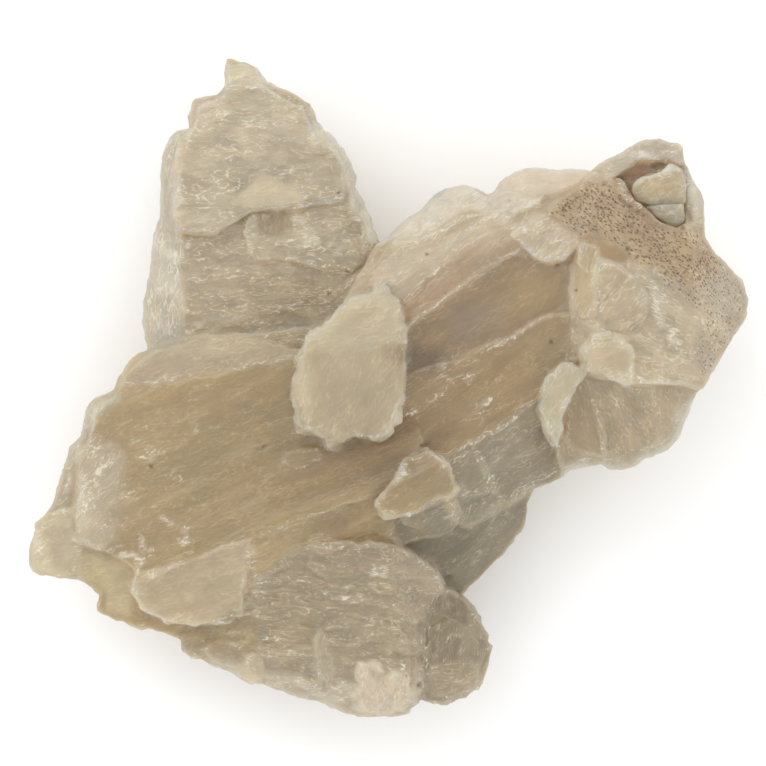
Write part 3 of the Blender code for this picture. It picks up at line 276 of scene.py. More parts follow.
    ), (166, 144, 108), Grain.STRIATED, 31.0, 0.05, 0.4),
    "brown_face": Zone((
        (5.6, 3.0), (9.6, 4.0), (13.8, 6.0), (17.8, 7.7), (21.9, 10.0), (25.2, 10.3), (25.6, 6.0),
        (23.8, 3.1), (22.0, 1.0), (20.6, -1.8), (7.9, -9.7), (4.0, -8.0), (1.9, -4.0), (2.8, 2.0),
    ), (167, 144, 105), Grain.STRIATED, 31.0, 0.08, 0.4, 0.12),
    # Painted shadow: a brown wedge below a small step between the crystals.
    "step_shadow": Zone((
        (1.9, -3.8), (3.0, -3.4), (5.0, -5.0), (3.6, -6.6), (0.6, -7.2), (-1.0, -8.0), (-1.4, -6.9),
    ), (146, 120, 82), Grain.SMOOTH, 31.0, 0.0, 0.5),
    # These lower right faces are tinted darker grey partly as painted shade, since they face away from the
    # light.
    "lower_face": Zone((
        (7.9, -9.9), (21.2, -1.4), (21.6, -4.0), (23.4, -8.4), (24.4, -13.2), (20.0, -14.2), (16.9, -16.4),
        (14.7, -17.8), (15.4, -15.2), (14.6, -13.4), (12.3, -8.8), (9.6, -10.2),
    ), (144, 132, 106), Grain.STRIATED, 31.0, 0.06, 0.3, 0.22),
    "upper_ledge": Zone((
        (8.3, -10.3), (11.4, -8.4), (12.3, -8.6), (13.2, -11.1), (14.7, -13.3), (14.9, -14.6), (11.8, -14.7),
        (10.0, -13.6),
    ), (152, 141, 113), Grain.SMOOTH, 31.0, 0.08, 0.25, 0.22),
    "lower_ledge": Zone((
        (8.9, -15.2), (11.8, -14.4), (15.4, -14.9), (15.9, -16.6), (12.8, -18.5), (11.3, -19.4),
        (10.1, -19.0), (8.7, -17.9),
    ), (154, 143, 118), Grain.CLEAVED, 31.0, 0.16, 0.25, 0.26),
    "frosted_patch": Zone((
        (17.2, 21.4), (18.9, 19.2), (20.6, 17.8), (22.6, 17.3), (24.6, 17.8), (25.6, 19.2), (26.7, 20.0),
        (26.4, 22.6), (24.0, 24.6), (20.6, 24.4),
    ), (192, 176, 151), Grain.CRUMBLY, 31.0, 0.55, 0.3, 0.2),
    "pink_facet": Zone((
        (14.6, 26.0), (17.0, 26.8), (21.0, 26.4), (25.6, 27.6), (28.6, 30.2), (24.0, 30.4), (17.6, 30.2),
        (15.2, 28.2),
    ), (214, 200, 180), Grain.SMOOTH, 10.0, 0.14, 0.5),
    "weathered_end": Zone((
        (27.4, 2.2), (26.0, 4.6), (25.2, 8.0), (25.4, 12.0), (25.2, 17.0), (26.7, 20.0), (24.4, 22.4),
        (21.9, 25.0), (27.0, 28.4), (28.6, 30.5), (32.1, 32.7), (35.5, 34.7), (40.9, 34.2), (41.2, 31.3),
        (43.9, 26.0), (44.3, 20.9), (48.0, 16.8), (50.4, 12.8), (48.9, 8.0), (46.2, 3.6), (43.6, -0.4),
        (38.9, 0.4), (34.8, 0.4), (32.8, 0.4), (30.4, 1.6),
    ), (184, 170, 144), Grain.CLEAVED, -24.0, 0.34, 0.4, 0.0),
    "end_flank": Zone((
        (38.4, 20.6), (44.0, 20.9), (48.0, 16.8), (50.4, 12.8), (48.9, 8.0), (46.2, 3.6), (43.6, 0.6),
        (42.4, 4.4), (43.4, 9.0), (41.4, 12.0), (38.6, 13.4), (36.0, 16.4),
    ), (180, 167, 144), Grain.PITTED, -38.0, 0.34, 0.9, 0.0, 0.60),
    "pitted_face": Zone((
        (26.9, 20.8), (24.4, 22.6), (21.8, 24.6), (27.0, 28.2), (30.8, 29.0), (33.4, 26.2), (35.6, 24.8),
        (38.2, 22.6), (41.6, 22.2), (43.6, 22.6), (44.0, 20.9), (45.6, 18.4), (46.6, 15.6), (43.6, 14.2),
        (41.6, 14.6), (36.4, 16.6), (33.4, 18.0), (31.0, 20.2), (28.5, 21.4),
    ), (184, 163, 130), Grain.PITTED, -38.0, 0.16, 0.8, 0.0, 0.95),
    "brown_wedge": Zone((
        (26.3, 20.8), (28.0, 21.4), (29.6, 20.5), (30.6, 19.8), (31.8, 19.9), (33.3, 18.2), (33.0, 17.5),
        (30.8, 17.6), (29.8, 18.0), (29.0, 19.7), (27.8, 20.3), (26.8, 20.2),
    ), (172, 148, 110), Grain.SMOOTH, -31.0, 0.02, 0.3),
    "end_lobe": Zone((
        (25.4, 17.4), (26.2, 19.2), (27.1, 20.1), (28.3, 20.2), (29.2, 19.4), (29.6, 18.0), (28.9, 16.0),
        (28.8, 12.4), (28.4, 9.6), (26.4, 9.8), (25.4, 13.0),
    ), (192, 174, 142), Grain.SMOOTH, 80.0, 0.14, 0.3, 0.45),
    "end_block": Zone((
        (28.9, 9.4), (29.3, 12.0), (28.8, 14.0), (29.2, 17.4), (31.4, 17.2), (33.5, 15.8), (35.5, 13.8),
        (36.4, 10.4), (34.4, 7.4), (31.4, 7.8),
    ), (184, 169, 141), Grain.CRUMBLY, 40.0, 0.32, 0.4, 0.1),
    "upper_plate": Zone((
        (27.2, 2.4), (26.6, 5.0), (28.7, 7.4), (30.7, 7.5), (32.4, 6.8), (33.8, 5.4), (34.2, 4.2),
        (33.8, 2.6), (33.6, 0.9), (32.8, 0.1), (32.0, 0.9), (30.4, 1.5),
    ), (198, 185, 156), Grain.SMOOTH, 20.0, 0.22, 0.25, 0.5),
    "lower_plate": Zone((
        (23.8, 3.1), (25.7, 3.1), (27.4, 2.0), (26.0, -0.1), (25.0, -2.5), (24.3, -4.5), (24.0, -6.6),
        (23.1, -8.3), (21.9, -6.2), (21.2, -3.9), (21.1, -2.2), (21.4, -0.1), (21.8, 1.2), (22.6, 2.2),
    ), (193, 184, 159), Grain.SMOOTH, 66.0, 0.22, 0.25, 0.6),
    "recess": Zone((
        (24.4, -12.0), (24.2, -7.4), (26.4, -2.0), (27.6, 1.6), (30.4, 1.2), (34.8, 0.2), (38.9, 0.2),
        (43.4, -0.6), (42.5, -2.2), (41.6, -4.5), (39.4, -8.4), (35.8, -9.8), (32.8, -11.7), (29.9, -10.8),
    ), (176, 160, 132), Grain.CLEAVED, -66.0, 0.16, 0.3),
    "recess_wedge": Zone((
        (24.4, -6.8), (25.0, -3.0), (27.2, 1.4), (28.5, -1.2), (29.7, -4.6), (30.4, -9.4), (27.6, -9.6),
    ), (166, 149, 120), Grain.STRIATED, -66.0, 0.1, 0.3, 0.14),
    "recess_rim": Zone((
        (24.2, -12.9), (24.4, -10.6), (28.0, -9.6), (32.4, -10.0), (36.2, -8.2), (39.0, -6.6), (41.0, -2.4),
        (43.6, -0.6), (42.5, -2.6), (41.4, -6.0), (39.4, -8.9), (34.5, -11.2), (31.1, -11.6), (28.0, -11.2),
    ), (186, 180, 163), Grain.CLEAVED, 20.0, 0.6, 0.9),
    "knob": Zone((
        (29.6, 29.0), (32.1, 32.8), (35.5, 34.8), (41.0, 34.2), (41.2, 31.3), (43.0, 28.0), (43.6, 24.0),
        (42.0, 23.2), (41.0, 26.0), (41.2, 30.6), (39.4, 31.6), (35.2, 31.6), (33.4, 30.5), (31.3, 29.2),
    ), (182, 170, 150), Grain.CRUMBLY, 20.0, 0.62, 0.6),
    "knob_hollow": Zone((
        (31.4, 29.0), (33.4, 29.9), (34.4, 31.2), (35.8, 31.7), (37.5, 31.5), (39.2, 31.4), (39.4, 30.0),
        (36.9, 28.4), (34.6, 27.4), (33.4, 28.6),
    ), (172, 140, 110), Grain.CRUMBLY, 20.0, 0.10, 0.6, 0.3, 0.4),
    "knob_seat": Zone((
        (31.4, 29.0), (33.0, 25.2), (35.2, 24.0), (38.0, 22.2), (40.2, 21.9), (42.1, 23.0), (42.2, 25.4),
        (41.9, 29.0), (41.0, 31.4), (38.0, 31.7), (34.4, 31.3),
    ), (160, 138, 108), Grain.CRUMBLY, 20.0, 0.04, 0.4, 0.0, 0.3),
    "centre_plate": Zone((
        (-0.6, 13.9), (-3.1, 12.8), (-4.7, 12.6), (-5.9, 11.8), (-8.4, 9.3), (-9.2, 8.2), (-10.6, 8.0),
        (-11.8, 5.4), (-12.6, 4.2), (-12.6, 2.3), (-13.4, -0.5), (-13.4, -2.1), (-12.8, -3.3), (-12.9, -4.9),
        (-12.3, -6.1), (-10.3, -6.1), (-8.6, -8.2), (-7.5, -8.6), (-6.4, -8.0), (-4.5, -6.6), (-3.1, -6.9),
        (-1.2, -7.0), (0.0, -6.1), (1.3, -4.1), (2.1, -1.4), (2.8, 4.2), (2.4, 8.3), (2.1, 10.1),
        (1.4, 11.5), (0.3, 13.2),
    ), (194, 180, 151), Grain.SMOOTH, 62.0, 0.12, 0.15, 0.8),
    "centre_upper": Zone((
        (2.2, 8.6), (0.6, 6.7), (-3.0, 4.7), (-7.0, 4.2), (-11.4, 5.2), (-10.6, 7.6), (-8.8, 8.2),
        (-5.9, 11.5), (-3.0, 12.5), (-0.7, 13.5), (1.2, 11.4),
    ), (202, 190, 162), Grain.SMOOTH, 20.0, 0.22, 0.3),
    "small_blade": Zone((
        (-1.7, -16.4), (-1.5, -15.7), (-0.6, -14.9), (0.0, -13.6), (1.3, -12.5), (2.5, -9.6), (5.0, -8.9),
        (6.6, -9.2), (7.7, -10.3), (8.8, -11.4), (9.3, -13.0), (9.6, -14.1), (8.6, -15.0), (5.7, -16.3),
        (3.9, -17.5), (2.5, -17.7), (1.0, -17.5), (-0.6, -17.6),
    ), (169, 151, 115), Grain.SMOOTH, 30.0, 0.08, 0.15, 0.7),
}

SHARD_ZONES = {
    "shard_face": Zone((
        (33.6, 27.0), (34.0, 28.6), (35.5, 29.3), (37.9, 30.0), (39.2, 31.4), (40.8, 30.8), (41.5, 29.2),
        (41.5, 27.0), (41.4, 25.4), (37.2, 25.2), (34.2, 25.8),
    ), (198, 180, 148), Grain.CLEAVED, 24.0, 0.20),
}

FLAKE_ZONES = {
    "flake_face": Zone((
        (35.7, 25.0), (37.4, 25.6), (41.3, 25.8), (41.4, 23.2), (39.7, 22.4), (38.0, 23.0), (36.6, 24.0),
    ), (204, 184, 150), Grain.CLEAVED, -14.0, 0.25),
}

TRACES = (
    # Rear blade
    Trace(((-22.9, 43.0), (-17.5, 43.1)), 0.4, frost=0.4, rise=0.1),
    Trace(((-12.9, 23.9), (-12.0, 22.4), (-11.3, 21.2), (-10.5, 20.0)), 1.1, frost=1.0, rise=0.1),
    Trace(((-8.0, 19.8), (-6.8, 19.0)), 1.0, frost=0.8),
    Trace(((-29.4, 29.6), (-29.2, 27.0), (-29.4, 24.6)), 0.8, frost=0.75),
    Trace(((-32.4, 20.6), (-30.6, 19.4), (-29.4, 18.6)), 1.4, frost=0.75),
    Trace(((-31.6, 17.0), (-31.4, 13.6)), 2.0, frost=0.35),
    Trace(((-27.2, 36.8), (-28.0, 34.0)), 0.6, frost=0.5),
    # Painted shadow under the lower edge of the upper sheet.
    Trace(((-29.7, 21.3), (-24.7, 21.1), (-20.7, 23.7), (-16.3, 24.6), (-10.0, 25.2)), 0.35, stain_and_shade=0.22),
    Trace(((-17.8, 24.2), (-17.9, 21.0)), 0.3, stain_and_shade=0.15),
    Trace(((-9.4, 24.0), (-9.0, 20.6)), 0.5, stain_and_shade=0.2),
    # Left crystal
    Trace(((-49.0, -18.7), (-46.4, -17.3), (-43.7, -16.6)), 0.45, frost=0.8, rise=0.15),
    Trace(((-43.8, -20.9), (-42.4, -21.3), (-41.0, -22.0), (-38.9, -22.6)), 0.6, frost=0.75, rise=0.12),
    Trace(((-43.9, -21.6), (-41.6, -23.2), (-39.8, -23.8), (-38.2, -23.0)), 0.35, stain_and_shade=0.25),
    Trace(((-36.9, -23.2), (-35.6, -23.2), (-34.4, -24.4)), 0.8, frost=1.0, rise=0.12),
    Trace(((-34.4, -20.9), (-34.0, -22.4), (-34.2, -24.2)), 0.9, frost=0.7, rise=0.12),
    Trace(((-33.1, -22.4), (-33.3, -23.4)), 0.6, frost=1.0, rise=0.12),
    Trace(((-34.8, -24.6), (-35.3, -26.6), (-35.4, -28.0)), 0.3, frost=0.6),
    Trace(((-34.6, -25.6), (-33.0, -26.2), (-32.0, -25.4)), 0.5, frost=0.4),
    Trace(((-34.8, -28.3), (-33.6, -28.0)), 0.5, frost=0.6),
    Trace(((-28.4, -19.4), (-28.0, -20.6), (-28.2, -21.8), (-28.9, -21.9), (-29.2, -21.0)), 0.35, frost=0.95),
    Trace(((-31.2, -17.9), (-30.2, -18.8)), 0.5, frost=0.7),
    Trace(((-30.0, -12.3), (-29.0, -12.5)), 0.45, frost=0.85),
    Trace(((-35.0, -5.4), (-33.0, -5.2), (-32.6, -5.9)), 0.6, frost=0.55),
    Trace(((-35.4, -7.2), (-33.6, -8.2), (-32.8, -9.4)), 0.9, frost=0.5),
    Trace(((-34.4, -9.6), (-33.0, -10.2)), 0.5, frost=0.4),
    Trace(((-42.4, -9.4), (-40.2, -8.4), (-38.6, -8.0)), 0.5, frost=0.6),
    Trace(((-41.2, -13.0), (-39.6, -10.8), (-37.8, -9.6)), 0.5, frost=0.6),
    Trace(((-42.8, -12.6), (-42.4, -15.6), (-42.0, -18.4)), 1.2, frost=0.5),
    Trace(((-38.8, -15.8), (-37.0, -15.2), (-35.4, -14.4)), 0.3, frost=0.5),
    Trace(((-42.2, -5.4), (-41.6, -3.0), (-39.4, -1.8)), 1.0, frost=0.5),
    Trace(((-41.0, -3.2), (-39.2, -2.6)), 0.9, stain_and_shade=0.18),
    Trace(((-44.6, -12.6), (-44.9, -14.4)), 0.8, frost=0.6),
    Trace(((-49.0, -20.0), (-48.6, -22.4)), 1.0, frost=0.45),
    Trace(((-32.0, -9.0), (-24.4, -7.2), (-18.6, -5.4), (-13.4, -4.0)), 0.3, frost=0.16),
    Trace(((-18.4, -8.6), (-18.2, -7.4), (-17.2, -7.4), (-17.2, -8.4), (-18.2, -8.7)), 0.3, stain_and_shade=0.5),
    Trace(((-27.0, -5.0), (-26.6, -6.0)), 0.6, frost=0.4),
    Trace(((-29.4, -31.6), (-28.0, -31.8)), 0.6, frost=0.6),
    Trace(((-19.0, -27.6), (-17.8, -26.8), (-18.2, -28.2)), 0.9, frost=0.6),
    Trace(((-18.8, -21.4), (-18.6, -24.6), (-18.2, -26.4)), 0.35, frost=0.3),
    Trace(((-10.2, -21.0), (-9.4, -20.4)), 0.6, frost=0.4),
    # Right crystal
    Trace(((-7.4, 12.9), (-4.0, 15.8), (1.0, 18.7)), 0.5, frost=0.40),
    Trace(((-6.6, 12.4), (-3.0, 15.0), (2.4, 18.0), (5.2, 18.6)), 0.4, frost=0.28),
    Trace(((-2.0, 13.8), (1.6, 16.4), (5.0, 18.2)), 0.4, frost=0.25),
    Trace(((-1.0, 16.4), (3.0, 19.4), (5.2, 21.1), (8.6, 22.6), (12.2, 24.1)), 0.35, frost=0.45),
    Trace(((5.9, 18.4), (9.2, 20.8), (12.9, 23.2)), 0.7, frost=0.45),
    Trace(((2.9, 12.7), (5.9, 16.1), (9.6, 18.9), (13.9, 21.6)), 0.35, frost=0.60),
    Trace(((4.0, 12.2), (6.4, 14.4), (9.4, 16.4)), 0.3, frost=0.25),
    Trace(((2.7, 8.1), (8.0, 12.7), (14.3, 16.6), (18.1, 19.1)), 0.4, frost=0.50),
    Trace(((3.2, 6.6), (6.8, 9.2), (8.6, 10.8)), 0.3, frost=0.18),
    Trace(((15.3, 6.0), (19.9, 8.8), (25.8, 12.0)), 0.4, frost=0.60),
    Trace(((1.7, -4.2), (5.9, -2.0), (10.8, 2.9), (13.9, 5.3), (15.6, 6.4)), 0.4, frost=0.35),
    Trace(((7.6, -9.6), (12.2, -7.3), (16.4, -5.2), (21.6, -0.6)), 0.35, frost=0.55),
    Trace(((12.2, -8.2), (13.2, -10.2), (14.8, -12.6)), 0.35, frost=0.35),
    Trace(((10.8, 1.1), (11.6, 1.6)), 0.6, frost=0.45),
    Trace(((7.4, 3.6), (7.8, 2.0), (8.2, 1.2)), 0.4, frost=0.60),
    Trace(((12.4, -2.4), (14.0, -1.8), (14.8, -0.6)), 0.4, frost=0.50),
    Trace(((10.8, -4.6), (13.4, -4.6)), 0.35, frost=0.40),
    Trace(((16.6, 24.8), (17.8, 24.4), (17.6, 23.6)), 0.5, frost=0.70),
    Trace(((13.0, 26.0), (14.4, 24.6), (16.4, 23.4), (18.8, 22.6)), 1.3, frost=0.35),
    Trace(((18.6, 22.9), (19.4, 23.0)), 0.9, frost=0.6),
    Trace(((22.4, 20.4), (23.6, 19.8), (23.4, 19.0)), 0.5, frost=0.5),
    Trace(((10.6, 27.2), (11.4, 27.8)), 0.5, frost=0.7),
    Trace(((5.6, 24.2), (8.0, 23.6), (10.4, 24.0)), 0.5, frost=0.5),
    Trace(((25.2, 17.8), (27.0, 19.9), (28.6, 20.0), (29.4, 18.4)), 0.35, frost=0.35),
    Trace(((28.8, 17.4), (28.5, 14.6), (28.6, 11.6), (27.6, 9.6)), 0.5, frost=0.45),
    Trace(((29.0, 8.0), (31.4, 7.4), (34.0, 5.2)), 0.35, frost=0.35),
    Trace(((13.8, 6.0), (17.8, 7.7), (21.9, 10.0), (24.6, 10.4)), 0.3, frost=0.35),
    Trace(((9.0, 18.0), (9.0, 16.6), (9.6, 15.0), (10.4, 14.4)), 0.35, frost=0.35),
    Trace(((12.2, -2.4), (13.4, -3.4), (13.2, -4.4)), 0.45, frost=0.55),
    Trace(((13.8, -2.0), (14.6, -0.8)), 0.35, frost=0.4),
    Trace(((12.0, -5.0), (13.6, -4.6)), 0.3, frost=0.4),
    Trace(((7.0, 3.2), (7.6, 2.0)), 0.5, frost=0.4),
    Trace(((12.2, -9.0), (13.0, -11.0), (14.6, -13.4)), 0.35, frost=0.3),
    Trace(((14.5, -17.0), (19.8, -14.0), (22.6, -12.4)), 0.3, frost=0.45),
    Trace(((15.5, -16.2), (19.0, -14.0), (23.4, -11.6)), 0.3, frost=0.35),
    Trace(((16.8, 25.2), (17.8, 24.6)), 0.6, frost=0.6),
    Trace(((12.0, -24.4), (12.9, -23.2)), 0.55, frost=1.0),
    Trace(((8.4, -18.2), (8.8, -18.8)), 0.6, frost=0.6),
    Trace(((4.6, -17.0), (7.4, -20.6)), 0.3, frost=0.2),
    # End
    Trace(
        ((27.4, 2.2), (30.4, 1.5), (32.8, 0.3), (33.6, 0.8), (34.6, 0.5), (38.5, 0.8), (41.0, 0.9)),
        0.3, frost=0.45,
    ),
    Trace(((27.4, 2.0), (28.5, -1.5), (29.5, -3.8)), 0.3, frost=0.35),
    Trace(((24.0, -6.6), (24.8, -6.7)), 0.45, frost=0.7),
    Trace(((24.6, -8.0), (27.2, -8.4)), 0.6, stain_and_shade=0.25),
    Trace(((30.8, -0.4), (31.8, -2.2)), 0.6, frost=0.35),
    Trace(((29.0, 17.7), (30.2, 17.7), (32.4, 16.7), (34.2, 15.4)), 0.45, frost=0.55, rise=0.1),
    Trace(((28.9, 17.4), (29.0, 15.2), (29.4, 13.6)), 0.45, frost=0.3),
    Trace(((34.2, 15.6), (36.0, 14.4), (37.6, 12.8)), 0.9, frost=0.5),
    Trace(((28.9, 14.6), (28.9, 12.2), (29.3, 10.2), (28.4, 9.0)), 0.5, stain_and_shade=0.3),
    Trace(((31.0, 12.2), (31.2, 11.4)), 0.7, frost=0.45),
    Trace(((36.8, 12.6), (37.8, 12.2)), 0.7, frost=0.7),
    Trace(((36.8, 11.0), (37.4, 10.6)), 0.8, frost=1.0, rise=0.15),
    Trace(((37.2, 9.8), (38.4, 8.3)), 0.6, frost=0.8, rise=0.1),
    Trace(((39.2, 7.4), (39.6, 6.4), (40.4, 6.2)), 1.2, frost=1.0, rise=0.2),
    Trace(((38.2, 6.1), (37.4, 5.3)), 0.4, frost=0.7),
    Trace(((35.5, 3.5), (35.8, 4.1), (36.8, 4.2), (37.3, 3.8)), 0.35, frost=0.45),
    Trace(((26.2, 5.4), (23.0, 3.4)), 0.4, frost=0.2),
    Trace(((39.6, 15.2), (42.6, 12.4)), 0.3, stain_and_shade=0.3, rise=-0.06),
    Trace(((40.6, 18.4), (43.4, 15.4)), 0.3, stain_and_shade=0.3, rise=-0.06),
    # Knob
    Trace(((34.2, 32.4), (34.8, 32.3)), 0.7, frost=0.9, rise=0.2),
    Trace(((35.5, 32.6), (36.2, 32.3)), 0.8, frost=1.0, rise=0.2),
    Trace(((31.4, 29.2), (33.0, 29.6), (34.2, 29.5)), 0.35, stain_and_shade=0.7, rise=-0.15),
    Trace(((36.8, 31.2), (37.8, 30.9)), 0.8, stain_and_shade=0.55, rise=-0.1),
    Trace(((32.3, 28.3), (33.1, 28.3)), 1.0, frost=0.35, rise=0.3),
    Trace(((32.2, 27.3), (33.4, 26.2), (34.8, 25.3)), 0.6, frost=0.45, rise=0.25),
    # Painted shadow along the lower left of the pale crumb ridge, and painted shade in the small dark hole at
    # its end.
    Trace(((31.4, 27.0), (33.0, 25.4), (34.0, 24.9)), 0.4, stain_and_shade=0.7, rise=-0.2),
    Trace(((33.3, 25.1), (33.9, 25.0)), 0.5, stain_and_shade=1.0, rise=-0.25),
    # Painted shade in a narrow recess at the left of the shard.
    Trace(((33.4, 27.2), (34.4, 26.4)), 0.35, stain_and_shade=0.5),
    Trace(((36.2, 24.9), (37.2, 23.8), (38.8, 22.8), (40.2, 22.4)), 0.3, stain_and_shade=1.0, rise=-0.2),
    Trace(((41.2, 24.9), (41.9, 24.2), (42.0, 23.4)), 0.3, stain_and_shade=0.9, rise=-0.15),
    Trace(((33.2, 23.2), (34.2, 22.5), (35.0, 21.4), (37.4, 22.9)), 0.25, stain_and_shade=0.6, rise=-0.08),
    Trace(((41.2, 29.6), (41.6, 27.4)), 1.0, frost=0.4),
    Trace(
        ((34.3, 28.3), (35.5, 28.9), (36.9, 29.4), (38.3, 29.9), (39.2, 30.9), (40.6, 30.4)),
        0.55, frost=0.85, rise=0.1,
    ),
    Trace(((38.4, 29.7), (40.0, 29.9)), 1.2, frost=0.5),
    Trace(((35.0, 26.4), (36.4, 26.0), (40.6, 26.0)), 0.6, stain_and_shade=0.2),
    Trace(((36.4, 25.0), (37.6, 25.3), (40.6, 25.3)), 0.4, frost=0.7),
    # Front mass
    Trace(((-1.8, -25.8), (-0.6, -25.8)), 1.0, frost=0.95, rise=0.1),
    Trace(((-6.2, -29.1), (-5.8, -29.1)), 0.5, frost=0.8),
    Trace(((4.3, -41.4), (4.6, -42.2)), 0.5, stain_and_shade=1.0, rise=-0.3),
    Trace(((4.0, -40.4), (5.4, -42.0)), 0.8, frost=0.4),
    Trace(((-6.6, -41.8), (-6.0, -41.6)), 0.8, frost=0.8, rise=0.1),
    Trace(((-15.0, -40.4), (-13.0, -41.0), (-11.4, -41.6)), 0.7, frost=0.6, rise=0.15),
    Trace(((-9.0, -40.6), (-8.4, -41.2)), 0.8, frost=0.8),
    Trace(((1.0, -39.6), (2.2, -39.4)), 0.6, frost=0.9),
    Trace(((2.4, -41.0), (2.6, -44.6)), 0.3, stain_and_shade=0.3),
    Trace(((0.9, -41.4), (1.3, -44.6)), 0.25, stain_and_shade=0.22),
    Trace(((-3.4, -34.6), (-1.8, -33.8), (1.2, -33.6), (2.4, -34.4)), 0.3, frost=0.25),
    Trace(((-22.0, -35.4), (-20.8, -36.2)), 0.6, frost=0.6),
    Trace(((-25.6, -36.6), (-25.0, -37.4)), 0.5, frost=0.5),
    Trace(((-18.6, -30.4), (-18.2, -31.2)), 0.5, frost=0.6),
    Trace(((8.6, -34.8), (9.8, -34.6)), 0.7, frost=0.7),
    Trace(((8.8, -40.9), (10.8, -41.4)), 0.45, frost=0.8),
    Trace(((4.0, -29.9), (7.2, -29.4)), 0.5, stain_and_shade=0.3),
    # Small plates
    Trace(((2.3, 8.8), (0.6, 6.8), (-1.6, 5.6), (-3.0, 4.8)), 0.3, frost=0.3, rise=0.1),
    Trace(((-12.4, 0.7), (-9.2, 0.8), (-7.6, -2.4), (-8.4, -4.6), (-9.8, -5.8)), 0.3, frost=0.18, rise=0.06),
    Trace(((-12.2, -5.6), (-10.6, -5.6), (-9.0, -7.2)), 0.5, frost=0.3),
    Trace(((1.5, -10.6), (2.2, -11.6)), 0.7, frost=0.5),
    Trace(((0.6, -13.0), (3.2, -12.0)), 0.3, frost=0.35),
)

CLOUDS = (
    Cloud((-18.0, 38.0), (7.0, 4.0), 0.0, (198, 187, 164), 0.45),
    Cloud((-24.0, 24.0), (4.0, 2.4), 20.0, (196, 184, 160), 0.5, 0.10),
    Cloud((-15.0, 12.0), (9.0, 6.0), 0.0, (168, 149, 117), 0.45),
    Cloud((-31.5, 15.5), (2.4, 5.0), 88.0, (198, 192, 176), 0.5, 0.12),
    Cloud((-3.0, -10.5), (13.0, 4.6), 14.0, (146, 122, 84), 0.85),
    Cloud((-12.0, -13.0), (9.0, 3.2), 20.0, (156, 133, 94), 0.6),
    Cloud((-19.0, -3.0), (7.0, 4.0), 10.0, (160, 139, 102), 0.6),
    Cloud((-13.5, -8.0), (4.5, 2.0), 6.0, (148, 124, 86), 0.5),
    Cloud((-40.0, -17.0), (3.4, 6.0), 100.0, (196, 180, 152), 0.5, 0.14),
    Cloud((-24.0, -15.0), (5.0, 3.0), 20.0, (163, 146, 108), 0.4),
    Cloud((-7.0, -18.5), (5.0, 2.0), 20.0, (158, 134, 93), 0.7),
    Cloud((-40.0, -2.4), (3.0, 2.0), 40.0, (196, 190, 170), 0.4, 0.12),
    # Painted shade in the trough below the crest.
    Cloud((12.0, 9.5), (5.4, 3.4), 31.0, (154, 137, 117), 0.9),
    # Painted shadow of the centre plate on its right side.
    Cloud((4.6, 4.0), (2.6, 5.0), 80.0, (140, 119, 92), 0.85),
    Cloud((14.0, 17.5), (3.6, 2.2), 31.0, (160, 148, 124), 0.5),
    Cloud((20.0, 14.0), (5.0, 3.0), 31.0, (176, 154, 116), 0.6),
    Cloud((18.6, 8.6), (3.4, 1.6), 31.0, (164, 138, 102), 0.6),
    Cloud((22.5, 6.0), (4.6, 3.4), 31.0, (176, 157, 120), 0.7),
    Cloud((9.0, 23.0), (3.4, 1.6), 31.0, (182, 164, 134), 0.5),
    Cloud((16.0, 22.0), (6.0, 3.0), 31.0, (202, 186, 160), 0.55, 0.10),
    Cloud((6.0, 24.0), (5.0, 1.8), 40.0, (200, 192, 174), 0.5, 0.12),
    Cloud((7.0, 13.0), (3.4, 2.0), 31.0, (176, 150, 124), 0.6),
    Cloud((7.0, -6.0), (4.0, 3.0), 31.0, (150, 126, 88), 0.7),
    Cloud((17.0, -9.0), (4.0, 3.0), 31.0, (158, 150, 128), 0.6),
    Cloud((14.0, -20.0), (4.0, 4.0), 60.0, (138, 129, 104), 0.6),
    Cloud((3.0, -19.0), (3.0, 1.8), 0.0, (158, 144, 116), 0.6),
    Cloud((35.0, 23.5), (4.4, 2.4), -30.0, (164, 142, 114), 0.6),
    Cloud((26.0, 26.0), (4.0, 1.8), 38.0, (170, 146, 108), 0.7),
    Cloud((47.0, 14.0), (3.0, 4.0), 90.0, (184, 176, 160), 0.6),
    Cloud((36.0, 12.0), (1.8, 3.4), 60.0, (206, 198, 180), 0.5, 0.15),
    Cloud((34.0, 8.6), (2.6, 2.0), 0.0, (188, 166, 138), 0.5),
    Cloud((32.0, -6.4), (2.4, 2.0), 0.0, (180, 158, 130), 0.6),
    Cloud((28.0, -8.0), (3.0, 2.0), 0.0, (164, 146, 114), 0.5),
    Cloud((3.0, -25.0), (4.0, 2.6), -20.0, (168, 155, 134), 0.6),
    Cloud((-14.0, -33.0), (6.0, 4.0), 0.0, (170, 152, 118), 0.4),
    Cloud((13.0, -34.0), (2.0, 3.4), 100.0, (152, 143, 124), 0.5),
    Cloud((35.2, 30.0), (1.4, 1.6), 60.0, (156, 110, 80), 0.7),
    Cloud((37.2, 31.0), (1.0, 0.7), 0.0, (112, 90, 55), 0.8),
    Cloud((38.4, 33.4), (3.0, 1.6), -8.0, (172, 162, 146), 0.5),
    Cloud((42.4, 28.0), (1.4, 3.2), 0.0, (212, 203, 184), 0.8, 0.3),
    Cloud((38.6, 24.0), (2.2, 1.2), -14.0, (204, 188, 158), 0.8, 0.2),
    Cloud((33.6, 29.6), (1.6, 0.9), 20.0, (170, 138, 108), 0.6),
)

